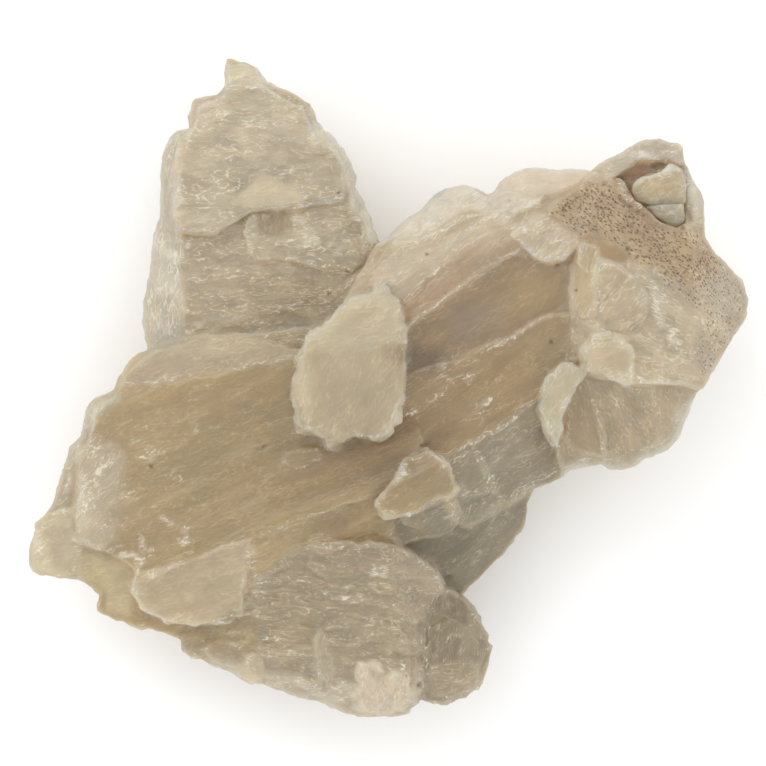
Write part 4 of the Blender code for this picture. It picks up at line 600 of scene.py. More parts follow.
# Each dot's place in plan and its radius.
DARK_SPOTS = (
    (8.0, 13.0, 0.22), (22.7, 6.5, 0.26), (23.5, 17.1, 0.2), (4.5, -8.1, 0.3), (40.95, 22.3, 0.28),
    (-33.0, -10.9, 0.26), (34.8, 24.5, 0.24), (33.2, 22.7, 0.22), (26.1, 13.6, 0.18), (5.3, 18.6, 0.2),
    (-6.9, 27.3, 0.2), (-3.6, 21.5, 0.2), (-17.4, -8.1, 0.2), (2.4, -40.2, 0.18), (-1.5, 20.0, 0.2),
    (-6.0, 16.4, 0.22), (-8.2, 13.2, 0.22), (35.4, 24.0, 0.2), (37.0, 20.6, 0.2), (33.3, 19.3, 0.24),
)


def display_to_linear(tint: tuple) -> np.ndarray:
    """Turn display values from 0 to 255 into linear ones.

    Args:
        tint: Red, green and blue as a screen shows them.

    Returns:
        The same colour in linear light.
    """
    share = np.asarray(tint, float) / 255.0
    return np.where(share <= 0.04045, share / 12.92, ((share + 0.055) / 1.055) ** 2.4)


def ease(value: np.ndarray, low: float, high: float) -> np.ndarray:
    """Rise smoothly from 0 at low to 1 at high.

    Args:
        value: The numbers to ease.
        low: Where the rise starts.
        high: Where it ends.

    Returns:
        Numbers from 0 to 1.
    """
    share = np.clip((value - low) / (high - low), 0.0, 1.0)
    return share * share * (3.0 - 2.0 * share)


class Noise:
    """Repeatable noise made from whole-number lattices."""

    WORD = 0xFFFFFFFF
    SEED_FACTOR = 374761393
    COLUMN_FACTORS = (73856093, 19349663, 83492791)
    MIX_FACTOR = 2654435761
    MIX_STEP = 1013904223
    MIX_SHIFT = 15
    OCTAVE_SHIFT = 17.3
    LAYERED_PEAK = 1.6
    BEYOND_CELLS = 9.0

    @classmethod
    def scatter(cls, cells: np.ndarray, seed: int) -> np.ndarray:
        """Give every lattice cell its own number from 0 to 1.

        Args:
            cells: Whole-number cell places, one row each.
            seed: A number that changes the pattern.

        Returns:
            One number for each row.
        """
        mixed = np.full(len(cells), seed * cls.SEED_FACTOR & cls.WORD, np.uint64)
        for column, factor in zip(cells.T, cls.COLUMN_FACTORS):
            mixed = (mixed ^ (column.astype(np.int64) & cls.WORD).astype(np.uint64) * factor) & cls.WORD
            mixed = (mixed * cls.MIX_FACTOR + cls.MIX_STEP) & cls.WORD
            mixed ^= mixed >> cls.MIX_SHIFT
        return mixed.astype(float) / cls.WORD

    @classmethod
    def smooth(cls, points: np.ndarray, seed: int) -> np.ndarray:
        """Smooth noise from -1 to 1 with a wavelength of one.

        Args:
            points: Places, one row each, in two or three columns.
            seed: A number that changes the pattern.

        Returns:
            One number for each row.
        """
        cell = np.floor(points).astype(np.int64)
        part = points - cell
        part = part * part * (3.0 - 2.0 * part)
        total = np.zeros(len(points))
        for corner in product((0, 1), repeat=points.shape[1]):
            weight = np.prod(np.where(np.array(corner) == 1, part, 1.0 - part), axis=1)
            total += weight * cls.scatter(cell + np.array(corner), seed)
        return total * 2.0 - 1.0

    @classmethod
    def layered(cls, points: np.ndarray, seed: int, octaves: int = 3) -> np.ndarray:
        """Several octaves of smooth noise added up.

        Args:
            points: Places, one row each.
            seed: A number that changes the pattern.
            octaves: How many layers, each half as large and half as strong.

        Returns:
            One number for each row, about -1 to 1.
        """
        total = np.zeros(len(points))
        for octave in range(octaves):
            finer = points * 2.0 ** octave + cls.OCTAVE_SHIFT * octave
            total += cls.smooth(finer, seed + octave) / 2.0 ** octave
        return total / cls.LAYERED_PEAK

    @classmethod
    def cells(cls, points: np.ndarray, seed: int) -> tuple:
        """Distance to the nearest of scattered seeds, and that seed's own number.

        Args:
            points: Places in plan, one row each.
            seed: A number that changes the pattern.

        Returns:
            The distances and the nearest seeds' numbers.
        """
        home = np.floor(points).astype(np.int64)
        nearest = np.full(len(points), cls.BEYOND_CELLS)
        number = np.zeros(len(points))
        for step in product((-1, 0, 1), repeat=2):
            cell = home + np.array(step)
            spot = cell + np.column_stack((cls.scatter(cell, seed), cls.scatter(cell, seed + 11)))
            distance = np.hypot(*(points - spot).T)
            closer = distance < nearest
            nearest = np.where(closer, distance, nearest)
            number = np.where(closer, cls.scatter(cell, seed + 23), number)
        return nearest, number


def stepped(height: np.ndarray, step: float, riser: float) -> np.ndarray:
    """Turn a height into flat treads with steep risers.

    Args:
        height: Heights in millimetres.
        step: The height of one step.
        riser: The share of each step's run that its riser takes.

    Returns:
        The stepped heights.
    """
    level = np.floor(height / step)
    rest = height / step - level
    return (level + ease(rest, 0.5 - riser / 2, 0.5 + riser / 2)) * step


def along_axis(plan: np.ndarray, axis: float) -> tuple:
    """Plan places as distances along and across an axis.

    Args:
        plan: Places in millimetres, one row each.
        axis: The axis in degrees from +X.

    Returns:
        Distances along it and across it.
    """
    turn = math.radians(axis)
    along = plan[:, 0] * math.cos(turn) + plan[:, 1] * math.sin(turn)
    across = plan[:, 1] * math.cos(turn) - plan[:, 0] * math.sin(turn)
    return along, across


def distance_to_line(plan: np.ndarray, line: np.ndarray) -> np.ndarray:
    """Distance from plan places to an open line.

    Args:
        plan: Places in millimetres, one row each.
        line: The line's points.

    Returns:
        One distance for each place.
    """
    nearest = np.full(len(plan), FAR)
    for start, end in zip(line[:-1], line[1:]):
        way = end - start
        share = np.clip(((plan - start) @ way) / max(way @ way, TINY), 0.0, 1.0)
        nearest = np.minimum(nearest, np.hypot(*(plan - start - share[:, None] * way).T))
    return nearest


def depth_inside(plan: np.ndarray, outline: tuple) -> np.ndarray:
    """How deep plan places lie inside an outline, below zero outside it.

    Args:
        plan: Places in millimetres, one row each.
        outline: The outline's corners.

    Returns:
        Signed distances to the outline.
    """
    ring = np.array(outline + outline[:1], float)
    inside = np.zeros(len(plan), bool)
    x, y = plan.T
    for (x0, y0), (x1, y1) in zip(ring[:-1], ring[1:]):
        spans = (y0 > y) != (y1 > y)
        crossing = x0 + (y - y0) * (x1 - x0) / (y1 - y0 if y1 != y0 else TINY)
        inside ^= spans & (x < crossing)
    distance = distance_to_line(plan, ring)
    return np.where(inside, distance, -distance)


@dataclass(frozen=True)
class Ripple:
    """One layer of relief, in millimetres: its waves along and across the grain, its height and its steps."""

    along: float
    across: float
    height: float
    seed: int
    octaves: int = 3
    step: float = 0.0
    riser: float = 0.25

    def waves(self, along: np.ndarray, across: np.ndarray) -> np.ndarray:
        """Places counted in the layer's own waves."""
        return np.column_stack((along / self.along, across / self.across))

    def at(self, along: np.ndarray, across: np.ndarray) -> np.ndarray:
        """Heights of the layer.

        Args:
            along: Distances along the grain.
            across: Distances across it.

        Returns:
            Heights in millimetres, in steps if the layer has any.
        """
        height = Noise.layered(self.waves(along, across), self.seed, self.octaves) * self.height
        return stepped(height, self.step, self.riser) if self.step else height


@dataclass(frozen=True)
class Relief:
    """The relief of each grain, in millimetres along the surface's normal."""

    sheets: Ripple = Ripple(4.2, 1.7, 0.44, 5, step=0.13, riser=0.2)
    torn_sheets: Ripple = Ripple(1.6, 0.9, 0.20, 12, octaves=2, step=0.08, riser=0.35)
    grooves: Ripple = Ripple(11.0, 1.7, 0.22, 36, step=0.09)
    chips: Ripple = Ripple(2.2, 1.2, 1.0, 48, octaves=2)
    bend: Ripple = Ripple(5.0, 3.5, 1.2, 56)
    layers: Ripple = Ripple(2.6, 1.1, 0.46, 58, step=0.13)
    lumps: Ripple = Ripple(1.9, 1.5, 0.26, 66)
    crumbs: Ripple = Ripple(0.9, 0.8, 0.12, 72)
    rolling: Ripple = Ripple(2.8, 1.2, 0.16, 78)
    growth: Ripple = Ripple(4.0, 2.6, 0.19, 86, octaves=4, step=0.08, riser=0.3)
    wall_sheet: tuple = (5.0, 5.0, 0.9)
    wall_chip: tuple = (1.4, 1.4, 3.0)

    def height(self, grain: Grain, along: np.ndarray, across: np.ndarray) -> np.ndarray:
        """Relief of one grain.

        Args:
            grain: Which relief.
            along: Distances along the grain.
            across: Distances across it.

        Returns:
            Heights in millimetres.
        """
        makers = {
            Grain.CLEAVED: self.cleaved,
            Grain.STRIATED: self.striated,
            Grain.WAVY: self.wavy,
            Grain.CRUMBLY: self.crumbly,
            Grain.PITTED: self.rolling.at,
            Grain.SMOOTH: self.growth.at,
        }
        return makers[grain](along, across)

    def cleaved(self, along: np.ndarray, across: np.ndarray) -> np.ndarray:
        """Sheets broken off in steps."""
        return self.sheets.at(along, across) + self.torn_sheets.at(along, across)

    def striated(self, along: np.ndarray, across: np.ndarray) -> np.ndarray:
        """Grooves along the crystal, with chips broken out of them."""
        chips = self.chips.at(along, across)
        return self.grooves.at(along, across) - 0.08 * ease(chips, 0.5, 0.62) + 0.05 * chips

    def wavy(self, along: np.ndarray, across: np.ndarray) -> np.ndarray:
        """Thin layers in waves."""
        bend = Noise.smooth(self.bend.waves(along, across), self.bend.seed) * self.bend.height
        return self.layers.at(along, across + bend)

    def crumbly(self, along: np.ndarray, across: np.ndarray) -> np.ndarray:
        """Small lumps.

        Args:
            along: Distances along the grain.
            across: Distances across it.

        Returns:
            Heights in millimetres.
        """
        near, number = Noise.cells(self.lumps.waves(along, across), self.lumps.seed)
        fine, _ = Noise.cells(self.crumbs.waves(along, across), self.crumbs.seed)
        return self.lumps.height * (0.6 - near) * (0.4 + number) + self.crumbs.height * (0.5 - fine)

    def layers_on_walls(self, place: np.ndarray) -> np.ndarray:
        """Sheets seen edge-on, on steep faces.

        Args:
            place: Places in millimetres, one row each.

        Returns:
            Heights in millimetres.
        """
        sheets = Noise.layered(place / np.array(self.wall_sheet), 96) * 0.45
        chipped = Noise.layered(place / np.array(self.wall_chip), 98, 2) * 0.22
        return stepped(sheets, 0.15, 0.3) + chipped

    @staticmethod
    def unevenness(place: np.ndarray) -> np.ndarray:
        """Broad unevenness of every face."""
        return Noise.smooth(place / 9.0, 106) * 0.16 + Noise.smooth(place / 3.4, 108) * 0.07


@dataclass
class Surface:
    """A mesh's places and normals, worked on as arrays in millimetres."""

    body: bpy.types.Object

    def __post_init__(self) -> None:
        """Read the mesh."""
        mesh = self.body.data
        count = len(mesh.vertices)
        self.place = self.column(mesh.vertices, "co", count * 3).reshape(-1, 3) / MM
        self.normal = self.column(mesh.vertices, "normal", count * 3).reshape(-1, 3)
        edges = np.empty(len(mesh.edges) * 2, np.int32)
        mesh.edges.foreach_get("vertices", edges)
        self.edges = edges.reshape(-1, 2)
        self.degree = np.maximum(np.bincount(self.edges.ravel(), minlength=count), 1)

    @staticmethod
    def column(items: object, name: str, size: int) -> np.ndarray:
        """One property of all of a mesh's items in a flat array.

        Args:
            items: The mesh's vertices or faces.
            name: The property.
            size: How many numbers there are.

        Returns:
            The numbers.
        """
        values = np.empty(size)
        items.foreach_get(name, values)
        return values

    def neighbours(self, values: np.ndarray) -> np.ndarray:
        """Mean of each vertex's neighbours.

        Args:
            values: One row for each vertex.

        Returns:
            The means, in the same shape.
        """
        columns = values.reshape(len(values), -1)
        first, second = self.edges.T
        count = len(values)
        sums = [
            np.bincount(first, column[second], count) + np.bincount(second, column[first], count)
            for column in columns.T
        ]
        return (np.column_stack(sums) / self.degree[:, None]).reshape(values.shape)

    def smoothed(self, values: np.ndarray, rounds: int) -> np.ndarray:
        """Values averaged over neighbours a number of times.

        Args:
            values: One row for each vertex.
            rounds: How many times.

        Returns:
            The smoothed values.
        """
        for _ in range(rounds):
            values = (values + self.neighbours(values)) / 2.0
        return values

    def convexity(self, rounds: int) -> np.ndarray:
        """How far each vertex stands out of its neighbourhood, in millimetres.

        Args:
            rounds: The width of the neighbourhood, in rounds of smoothing.

        Returns:
            Above zero on ridges, below zero in grooves.
        """
        flat = self.smoothed(self.place, rounds)
        return np.einsum("ij,ij->i", self.place - flat, self.normal)

    def write(self) -> None:
        """Put the places back into the mesh."""
        self.body.data.vertices.foreach_set("co", (self.place * MM).ravel())
        self.body.data.update()

    def attribute(self, name: str, values: np.ndarray) -> None:
        """Store a number or a vector for each vertex.

        Args:
            name: The attribute's name.
            values: The numbers, or rows of three.
        """
        kind, field_name = ("FLOAT", "value") if values.ndim == 1 else ("FLOAT_VECTOR", "vector")
        made = self.body.data.attributes.new(name, kind, "POINT")
        made.data.foreach_set(field_name, values.astype(np.float32).ravel())


@dataclass
class Wiring:
    """A material's nodes, and the ways in which they are joined."""

    tree: bpy.types.NodeTree

    def add(self, kind: str) -> bpy.types.Node:
        """A new shader node."""
        return self.tree.nodes.new("ShaderNode" + kind)

    def link(self, source: Socket, target: Socket) -> None:
        """Join an output to an input."""
        self.tree.links.new(source, target)

    def read(self, name: str, output: str = "Fac") -> Socket:
        """The socket of one of the mesh's attributes.

        Args:
            name: The attribute.
            output: Fac for a number, Vector for three.

        Returns:
            The socket.
        """
        node = self.add("Attribute")
        node.attribute_name = name
        return node.outputs[output]

    def place(self, waves: tuple) -> Socket:
        """The grain's coordinates, counted in waves.

        Args:
            waves: How many waves there are in a millimetre along each axis.

        Returns:
            The coordinates.
        """
        node = self.add("Mapping")
        node.inputs["Scale"].default_value = waves
        self.link(self.read("grain", "Vector"), node.inputs["Vector"])
        return node.outputs["Vector"]

    def noise(self, waves: tuple, detail: float, kind: str = "FBM") -> Socket:
        """Noise along the grain.

        Args:
            waves: How many waves there are in a millimetre along each axis.
            detail: How many octaves.
            kind: How the octaves add up.

        Returns:
            The noise's value.
        """
        node = self.add("TexNoise")
        node.noise_type = kind
        node.inputs["Scale"].default_value = 1.0
        node.inputs["Detail"].default_value = detail
        if kind == "RIDGED_MULTIFRACTAL":
            node.inputs["Offset"].default_value = 1.0
        self.link(self.place(waves), node.inputs["Vector"])
        return node.outputs["Fac"]

    def ramp(self, value: Socket, ends: tuple, to_ends: tuple) -> Socket:
        """Spread a value over a new range.

        Args:
            value: The value to spread.
            ends: The values that give the new range's ends.
            to_ends: The new range's ends.

        Returns:
            The new value.
        """
        node = self.add("MapRange")
        for name, number in zip(("From Min", "From Max", "To Min", "To Max"), ends + to_ends):
            node.inputs[name].default_value = number
        self.link(value, node.inputs["Value"])
        return node.outputs["Result"]

    def joined(self, operation: str, first: Socket, second: Socket) -> Socket:
        """Add or multiply two values.

        Args:
            operation: The Math node's operation.
            first: One value.
            second: The other value.

        Returns:
            The result.
        """
        node = self.add("Math")
        node.operation = operation
        self.link(first, node.inputs[0])
        self.link(second, node.inputs[1])
        return node.outputs[0]

    def mixed(self, blend: str, share: object, first: Socket, second: object) -> Socket:
        """Mix two colours.

        Args:
            blend: The Mix node's blend type.
            share: A number or a socket.
            first: The first colour.
            second: The second colour, as four numbers or a socket.

        Returns:
            The mixed colour.
        """
        node = self.add("Mix")
        node.data_type = "RGBA"
        node.blend_type = blend
        for name, value in (("Factor", share), ("A", first), ("B", second)):
            if isinstance(value, (float, tuple)):
                node.inputs[name].default_value = value
            else:
                self.link(value, node.inputs[name])
        return node.outputs["Result"]


@dataclass(frozen=True)
class SeleniteFinish:
    """Cloudy selenite: a pale honey body that light passes through, whitened along its broken edges.

    The frost it reads also carries painted highlights along edges, rims and pale ledges. Waves are counted in
    a millimetre along the grain, across it and upwards.
    """

    transmission: float = 0.50
    index: float = 1.52
    subsurface: float = 1.0
    subsurface_tint: tuple = (1.0, 0.8, 0.55)
    depth: float = 0.006
    absorption: tuple = (0.95, 0.88, 0.72)
    density: float = 14.0
    roughness: tuple = (0.34, 0.66)
    frost_tint: tuple = (248, 242, 226)
    even_frost: tuple = (0.22, 0.22, 0.22, 1.0)
    pit_tint: tuple = (0.30, 0.22, 0.14, 1.0)
    line_waves: tuple = (0.68, 1.95, 1.3)
    drift_waves: tuple = (0.15, 0.62, 0.4)
    pit_waves: tuple = (2.0, 4.0, 3.0)
    bump_waves: tuple = (0.9, 2.4, 1.7)
    bump_strength: float = 0.5
    bump_height: float = 0.3 * MM

    def material(self, name: str) -> bpy.types.Material:
        """Build the material.

        Args:
            name: Its name.

        Returns:
            A procedural material that reads the mesh's own attributes.
        """
        made = bpy.data.materials.new(name)
        made.use_nodes = True
        made.node_tree.nodes.clear()
        wiring = Wiring(made.node_tree)
        shader = wiring.add("BsdfPrincipled")
        output = wiring.add("OutputMaterial")
        wiring.link(shader.outputs["BSDF"], output.inputs["Surface"])
        shader.inputs["Transmission Weight"].default_value = self.transmission
        shader.inputs["IOR"].default_value = self.index
        shader.inputs["Subsurface Weight"].default_value = self.subsurface
        shader.inputs["Subsurface Radius"].default_value = self.subsurface_tint
        shader.inputs["Subsurface Scale"].default_value = self.depth
        volume = wiring.add("VolumeAbsorption")
        volume.inputs["Color"].default_value = (*self.absorption, 1.0)
        volume.inputs["Density"].default_value = self.density
        wiring.link(volume.outputs["Volume"], output.inputs["Volume"])
        self.colour(wiring, shader)
        self.bump(wiring, shader)
        return made

    def colour(self, wiring: Wiring, shader: bpy.types.Node) -> None:
        """Wire the body's tint, then its streaks and fine lines, its frost and its dark pits.

        Where the drifting noise is low the face is even, and where it is high its fine lines show.

        Args:
            wiring: The material's nodes.
            shader: The surface shader.
        """
        lines = wiring.noise(self.line_waves, 3.0, "RIDGED_MULTIFRACTAL")
        drift = wiring.noise(self.drift_waves, 1.5)
        streaks = wiring.ramp(drift, (0.38, 0.62), (0.92, 1.05))
        rough = wiring.ramp(drift, (0.42, 0.58), (0.3, 1.0))
        even = wiring.ramp(drift, (0.42, 0.58), (0.8, 0.0))
        veins = wiring.ramp(lines, (0.6, 1.7), (0.90, 1.06))
        body = wiring.mixed("MULTIPLY", 1.0, wiring.read("tint", "Vector"), streaks)
        body = wiring.mixed("MULTIPLY", rough, body, veins)
        specks = wiring.mixed("MIX", even, wiring.ramp(lines, (1.15, 1.70), (0.15, 2.5)), self.even_frost)
        frost = wiring.joined("MULTIPLY", wiring.read("frost"), specks)
        frost = wiring.ramp(frost, (0.0, 1.0), (0.0, 1.0))
        white = tuple(float(part) for part in display_to_linear(self.frost_tint))
        body = wiring.mixed("MIX", frost, body, (*white, 1.0))
        body = wiring.mixed("MULTIPLY", self.pits(wiring), body, self.pit_tint)
        wiring.link(body, shader.inputs["Base Color"])
        wiring.link(wiring.ramp(frost, (0.0, 1.0), self.roughness), shader.inputs["Roughness"])

    def pits(self, wiring: Wiring) -> Socket:
        """Fine pits stretched along the grain, where the mesh's attribute asks for them.

        Args:
            wiring: The material's nodes.

        Returns:
            A value from 0 on the face to 1 in a pit.
        """
        cells = wiring.add("TexVoronoi")
        cells.inputs["Scale"].default_value = 1.0
        wiring.link(wiring.place(self.pit_waves), cells.inputs["Vector"])
        spot = wiring.ramp(cells.outputs["Distance"], (0.28, 0.58), (1.0, 0.0))
        chance = wiring.add("SeparateColor")
        wiring.link(cells.outputs["Color"], chance.inputs["Color"])
        chosen = wiring.joined("ADD", chance.outputs["Red"], wiring.read("pits"))
        return wiring.joined("MULTIPLY", spot, wiring.ramp(chosen, (1.0, 1.5), (0.0, 1.0)))

    def bump(self, wiring: Wiring, shader: bpy.types.Node) -> None:
        """Wire the relief that is finer than the mesh.

        Args:
            wiring: The material's nodes.
            shader: The surface shader.
        """
        bump = wiring.add("Bump")
        bump.inputs["Strength"].default_value = self.bump_strength
        bump.inputs["Distance"].default_value = self.bump_height
        wiring.link(wiring.noise(self.bump_waves, 1.0), bump.inputs["Height"])
        wiring.link(bump.outputs["Normal"], shader.inputs["Normal"])


@dataclass
class Look:
    """What each vertex of a piece carries: its relief, tint, frost, stains and painted shade, pits and grain.
    """

    place: np.ndarray
    upright: np.ndarray
    relief: Relief
    body_axis: float = 20.0
    body_frost: float = 0.10
    body_ragged: float = 0.7
    most_ragged: float = 2.6
    wall_frost_and_light: float = 0.36

    def __post_init__(self) -> None:
        """Start from the plain body."""
        count = len(self.place)
        self.plan = self.place[:, :2].copy()
        along, across = along_axis(self.plan, self.body_axis)
        self.height = self.relief.growth.at(along, across)
        self.frost = np.full(count, self.body_frost)
        self.stain_and_shade, self.pits, self.border, self.glint = np.zeros((4, count))
        self.ragged = np.full(count, self.body_ragged)
        self.tint = np.tile(display_to_linear(BODY_TINT), (count, 1))
        self.grain = np.column_stack((along, across, self.place[:, 2]))
        # Cloudy veils inside the crystal; add_zone adds painted light on higher relief to them.
        self.veil_and_height_light = 1.0 + 0.12 * Noise.layered(self.place / 4.0, 601, 4)
        self.tilt = 1.0 - np.abs(self.upright[:, 2])
        self.facing_up = ease(self.upright[:, 2], 0.0, 0.4)

    def near(self, points: np.ndarray, margin: float) -> np.ndarray:
        """The vertices whose plan places lie near some points.

        Args:
            points: Places in plan.
            margin: How far around them.

        Returns:
            The vertices' numbers.
        """
        low, high = points.min(0) - margin, points.max(0) + margin
        return np.flatnonzero(np.all((self.plan > low) & (self.plan < high), axis=1))

    @staticmethod
    def lay(values: np.ndarray, chosen: np.ndarray, new: object, share: np.ndarray) -> None:
        """Move some vertices' values towards new ones.

        Args:
            values: One of the arrays that the vertices carry.
            chosen: The vertices' numbers.
            new: The new values.
            share: How far each vertex goes.
        """
        values[chosen] += (new - values[chosen]) * (share[:, None] if values.ndim > 1 else share)

    def add_zone(self, zone: Zone) -> None:
        """Lay one crystal face over the ones before it.

        Args:
            zone: The face.
        """
        chosen = self.near(np.array(zone.outline), zone.soft + 0.5)
        depth = depth_inside(self.plan[chosen], zone.outline)
        wobble = Noise.layered(self.plan[chosen] / 1.7, 401, 2)
        share = ease(depth + wobble * zone.soft * 0.8, -zone.soft, zone.soft)
        along, across = along_axis(self.plan[chosen], zone.axis)
        raised = self.relief.height(zone.grain, along, across)
        self.lay(self.height, chosen, raised, share)
        warped = np.column_stack((along + wobble, across + wobble * 0.4))
        _, facet = Noise.cells(warped / FACET_SIZE[zone.grain], 611)
        # Facets differ at random in brightness, and higher relief is painted lighter.
        veil_and_height_light = 1.0 + FACET_SHADE[zone.grain] * (facet - 0.5) + 0.22 * raised
        self.veil_and_height_light[chosen] += (veil_and_height_light + 0.10 * wobble * veil_and_height_light - self.veil_and_height_light[chosen]) * share * 0.8
        self.lay(self.frost, chosen, zone.frost, share)
        self.lay(self.tint, chosen, display_to_linear(zone.tint), share)
        self.lay(self.pits, chosen, zone.pitting, share)
        self.border[chosen] *= 1.0 - share
        # A pale line just inside the border, partly frost and partly painted highlight.
        line = np.exp(-((depth - 0.2) / 0.32) ** 2) * zone.rim * np.clip(0.7 + wobble, 0.0, 1.3)
        self.border[chosen] = np.maximum(self.border[chosen], line)
        near_rim = self.body_ragged + np.exp(-(depth / 0.9) ** 2) * zone.rim * self.most_ragged
        self.ragged[chosen] = np.maximum(self.ragged[chosen], near_rim)
        turned = share > 0.5
        self.grain[chosen[turned], 0] = along[turned]
        self.grain[chosen[turned], 1] = across[turned]

    def add_cloud(self, cloud: Cloud) -> None:
        """Tint a soft patch.

        Args:
            cloud: The patch.
        """
        chosen = self.near(np.array([cloud.centre]), max(cloud.reach) * 1.5)
        plan = self.plan[chosen]
        along, across = along_axis(plan - np.array(cloud.centre), cloud.axis)
        distance = np.hypot(along / cloud.reach[0], across / cloud.reach[1])
        distance += Noise.layered(plan / 2.6, 431, 3) * 0.3
        share = ease(-distance, -1.25, -0.15) * cloud.strength
        self.lay(self.tint, chosen, display_to_linear(cloud.tint), share)
        self.frost[chosen] += (cloud.frost - self.frost[chosen] * 0.3) * share

    def add_trace(self, trace: Trace) -> None:
        """Draw one mark on what faces upwards.

        Args:
            trace: The mark.
        """
        line = np.array(trace.points, float)
        chosen = self.near(line, trace.width * 1.6)
        wobble = Noise.layered(self.plan[chosen] / 0.9, 307, 2) * trace.width * 0.7
        spread = distance_to_line(self.plan[chosen], line) + wobble
        share = ease(-spread, -trace.width, -trace.width * 0.1) * self.facing_up[chosen]
        broken = 0.3 + 0.7 * ease(Noise.layered(self.plan[chosen] / 0.7, 331, 2), -0.35, 0.35)
        self.glint[chosen] += share * trace.frost * broken
        self.stain_and_shade[chosen] += share * trace.stain_and_shade * 0.8
        self.height[chosen] += share * trace.rise * 0.6

    def add_spot(self, spot: tuple) -> None:
        """Sink one dark dot.

        Args:
            spot: Its place in plan and its radius.
        """
        *centre, radius = spot
        chosen = self.near(np.array([centre]), radius * 2.0)
        distance = np.hypot(*(self.plan[chosen] - np.array(centre)).T)
        share = ease(-distance, -radius * 1.7, -radius * 0.6) * self.facing_up[chosen]
        self.stain_and_shade[chosen] += share
        self.height[chosen] -= share * 0.12

    def add_walls(self) -> None:
        """Lay bare the sheets' edges on steep faces and whiten what nears an edge."""
        wall = ease(self.tilt, 0.35, 0.75)
        self.height += (self.relief.layers_on_walls(self.place) - self.height) * wall
        self.grain[:, 1] += wall * self.place[:, 2] * 1.5
        # Steep faces are whitened, partly as frost on the bared sheets and partly as painted light against
        # their shade. The rim lines added below are partly painted highlight.
        self.frost += self.wall_frost_and_light * ease(self.tilt, 0.08, 0.6)
        self.glint += self.border * (1.0 - 0.5 * wall)
        self.height += self.relief.unevenness(self.place)

    def raggedness(self) -> np.ndarray:
        """How far each vertex moves sideways, so that no edge stays drawn with a ruler.

        Returns:
            Moves in millimetres, one row each.
        """
        moves = [
            Noise.smooth(self.place / 1.35, seed) * 0.19 + Noise.smooth(self.place / 0.7, seed + 1) * 0.08
            for seed in (501, 521)
        ]
        sideways = np.column_stack((*moves, np.zeros(len(self.place))))
        return sideways * np.minimum(self.ragged, self.most_ragged)[:, None]


@dataclass(frozen=True)
class WearAndPaintedLight:
    """How a carved surface's ridges, grooves and slopes change its tint and frost.

    Reaches are in rounds of smoothing. Fine grooves are darkened and browned with painted shade, along with
    the stains.
    The foot of a ledge lies in shade and is brightened and whitened with painted light, slopes are brightened
    with painted light, and ridges are whitened, partly as frost and partly as painted highlight.
    """

    fine_reach: int = 2
    broad_reach: int = 12
    foot_reach: int = 40
    ridge_frost_and_highlight: float = 0.35
    glint_gain: float = 3.0
    groove_painted_shade: float = 1.2
    shade_and_stain_cover: float = 0.85
    shade_and_stain_tint: tuple = (0.56, 0.46, 0.33)
    foot_painted_light_tint: tuple = (214, 204, 180)
    foot_painted_light_cover: float = 0.55
    foot_painted_light_frost: float = 0.4
    foot_painted_light: float = 0.3
    slope_painted_light: float = 0.22
    body_light: float = 1.185
    brightest: float = 0.97

    def store(self, surface: Surface, look: Look) -> None:
        """Store what the material reads: tint, frost, pits and the grain's coordinates.

        Args:
            surface: The carved surface.
            look: What its vertices carry.
        """
        fine = surface.convexity(self.fine_reach)
        broad = surface.convexity(self.broad_reach)
        wide = surface.convexity(self.foot_reach)
        # Concave ledge feet, where shade falls: painted light brightens and whitens them below.
        foot = np.clip(-broad, 0.0, 0.35) * 2.2 + np.clip(-wide, 0.0, 0.6) * 0.5
        # Fine grooves get painted shade, darker and browner, added to the stains and painted shadows of the
        # marks.
        shade_and_stain = np.clip(np.clip(-fine - 0.020, 0.0, 0.12) * self.groove_painted_shade + look.stain_and_shade, 0.0, 1.0)
        # Ridges are whitened, partly as frost and partly as painted highlight.
        frost = look.frost + self.ridge_frost_and_highlight * np.clip(broad - 0.06, 0.0, 0.6)
        frost = np.clip(frost * (1.0 - self.shade_and_stain_cover * shade_and_stain), 0.0, 1.0)
        frost = np.clip(frost + self.foot_painted_light_frost * foot * (1.0 - shade_and_stain), 0.0, 1.0)
        # Crisp convex edges get a painted highlight.
        glint = np.clip(look.glint + self.glint_gain * np.clip(fine - 0.010, 0.0, 0.12), 0.0, 1.2)
        # Painted light on slopes and at ledge feet, times the veils and the painted light on higher relief.
        slope = ease(look.tilt, 0.04, 0.5)
        painted_light_and_veils = (1.0 + self.foot_painted_light * foot) * (1.0 + self.slope_painted_light * slope) * look.veil_and_height_light
        tint = self.body_light * look.tint ** 0.98 * painted_light_and_veils[:, None]
        foot_share = np.clip(self.foot_painted_light_cover * foot, 0.0, 0.5)
        tint += (display_to_linear(self.foot_painted_light_tint) - tint) * foot_share[:, None]
        tint *= 1.0 - shade_and_stain[:, None] * (1.0 - np.array(self.shade_and_stain_tint) * 0.8)
        surface.attribute("tint", np.clip(tint, 0.0, self.brightest))
        # The frost attribute also carries the glint: painted highlights on edges, rims and pale ledges, partly
        # frost.
        surface.attribute("frost", frost + 3.0 * glint * (1.0 - self.shade_and_stain_cover * shade_and_stain))
        surface.attribute("pits", np.clip(look.pits, 0.0, 1.0))
        surface.attribute("grain", look.grain)


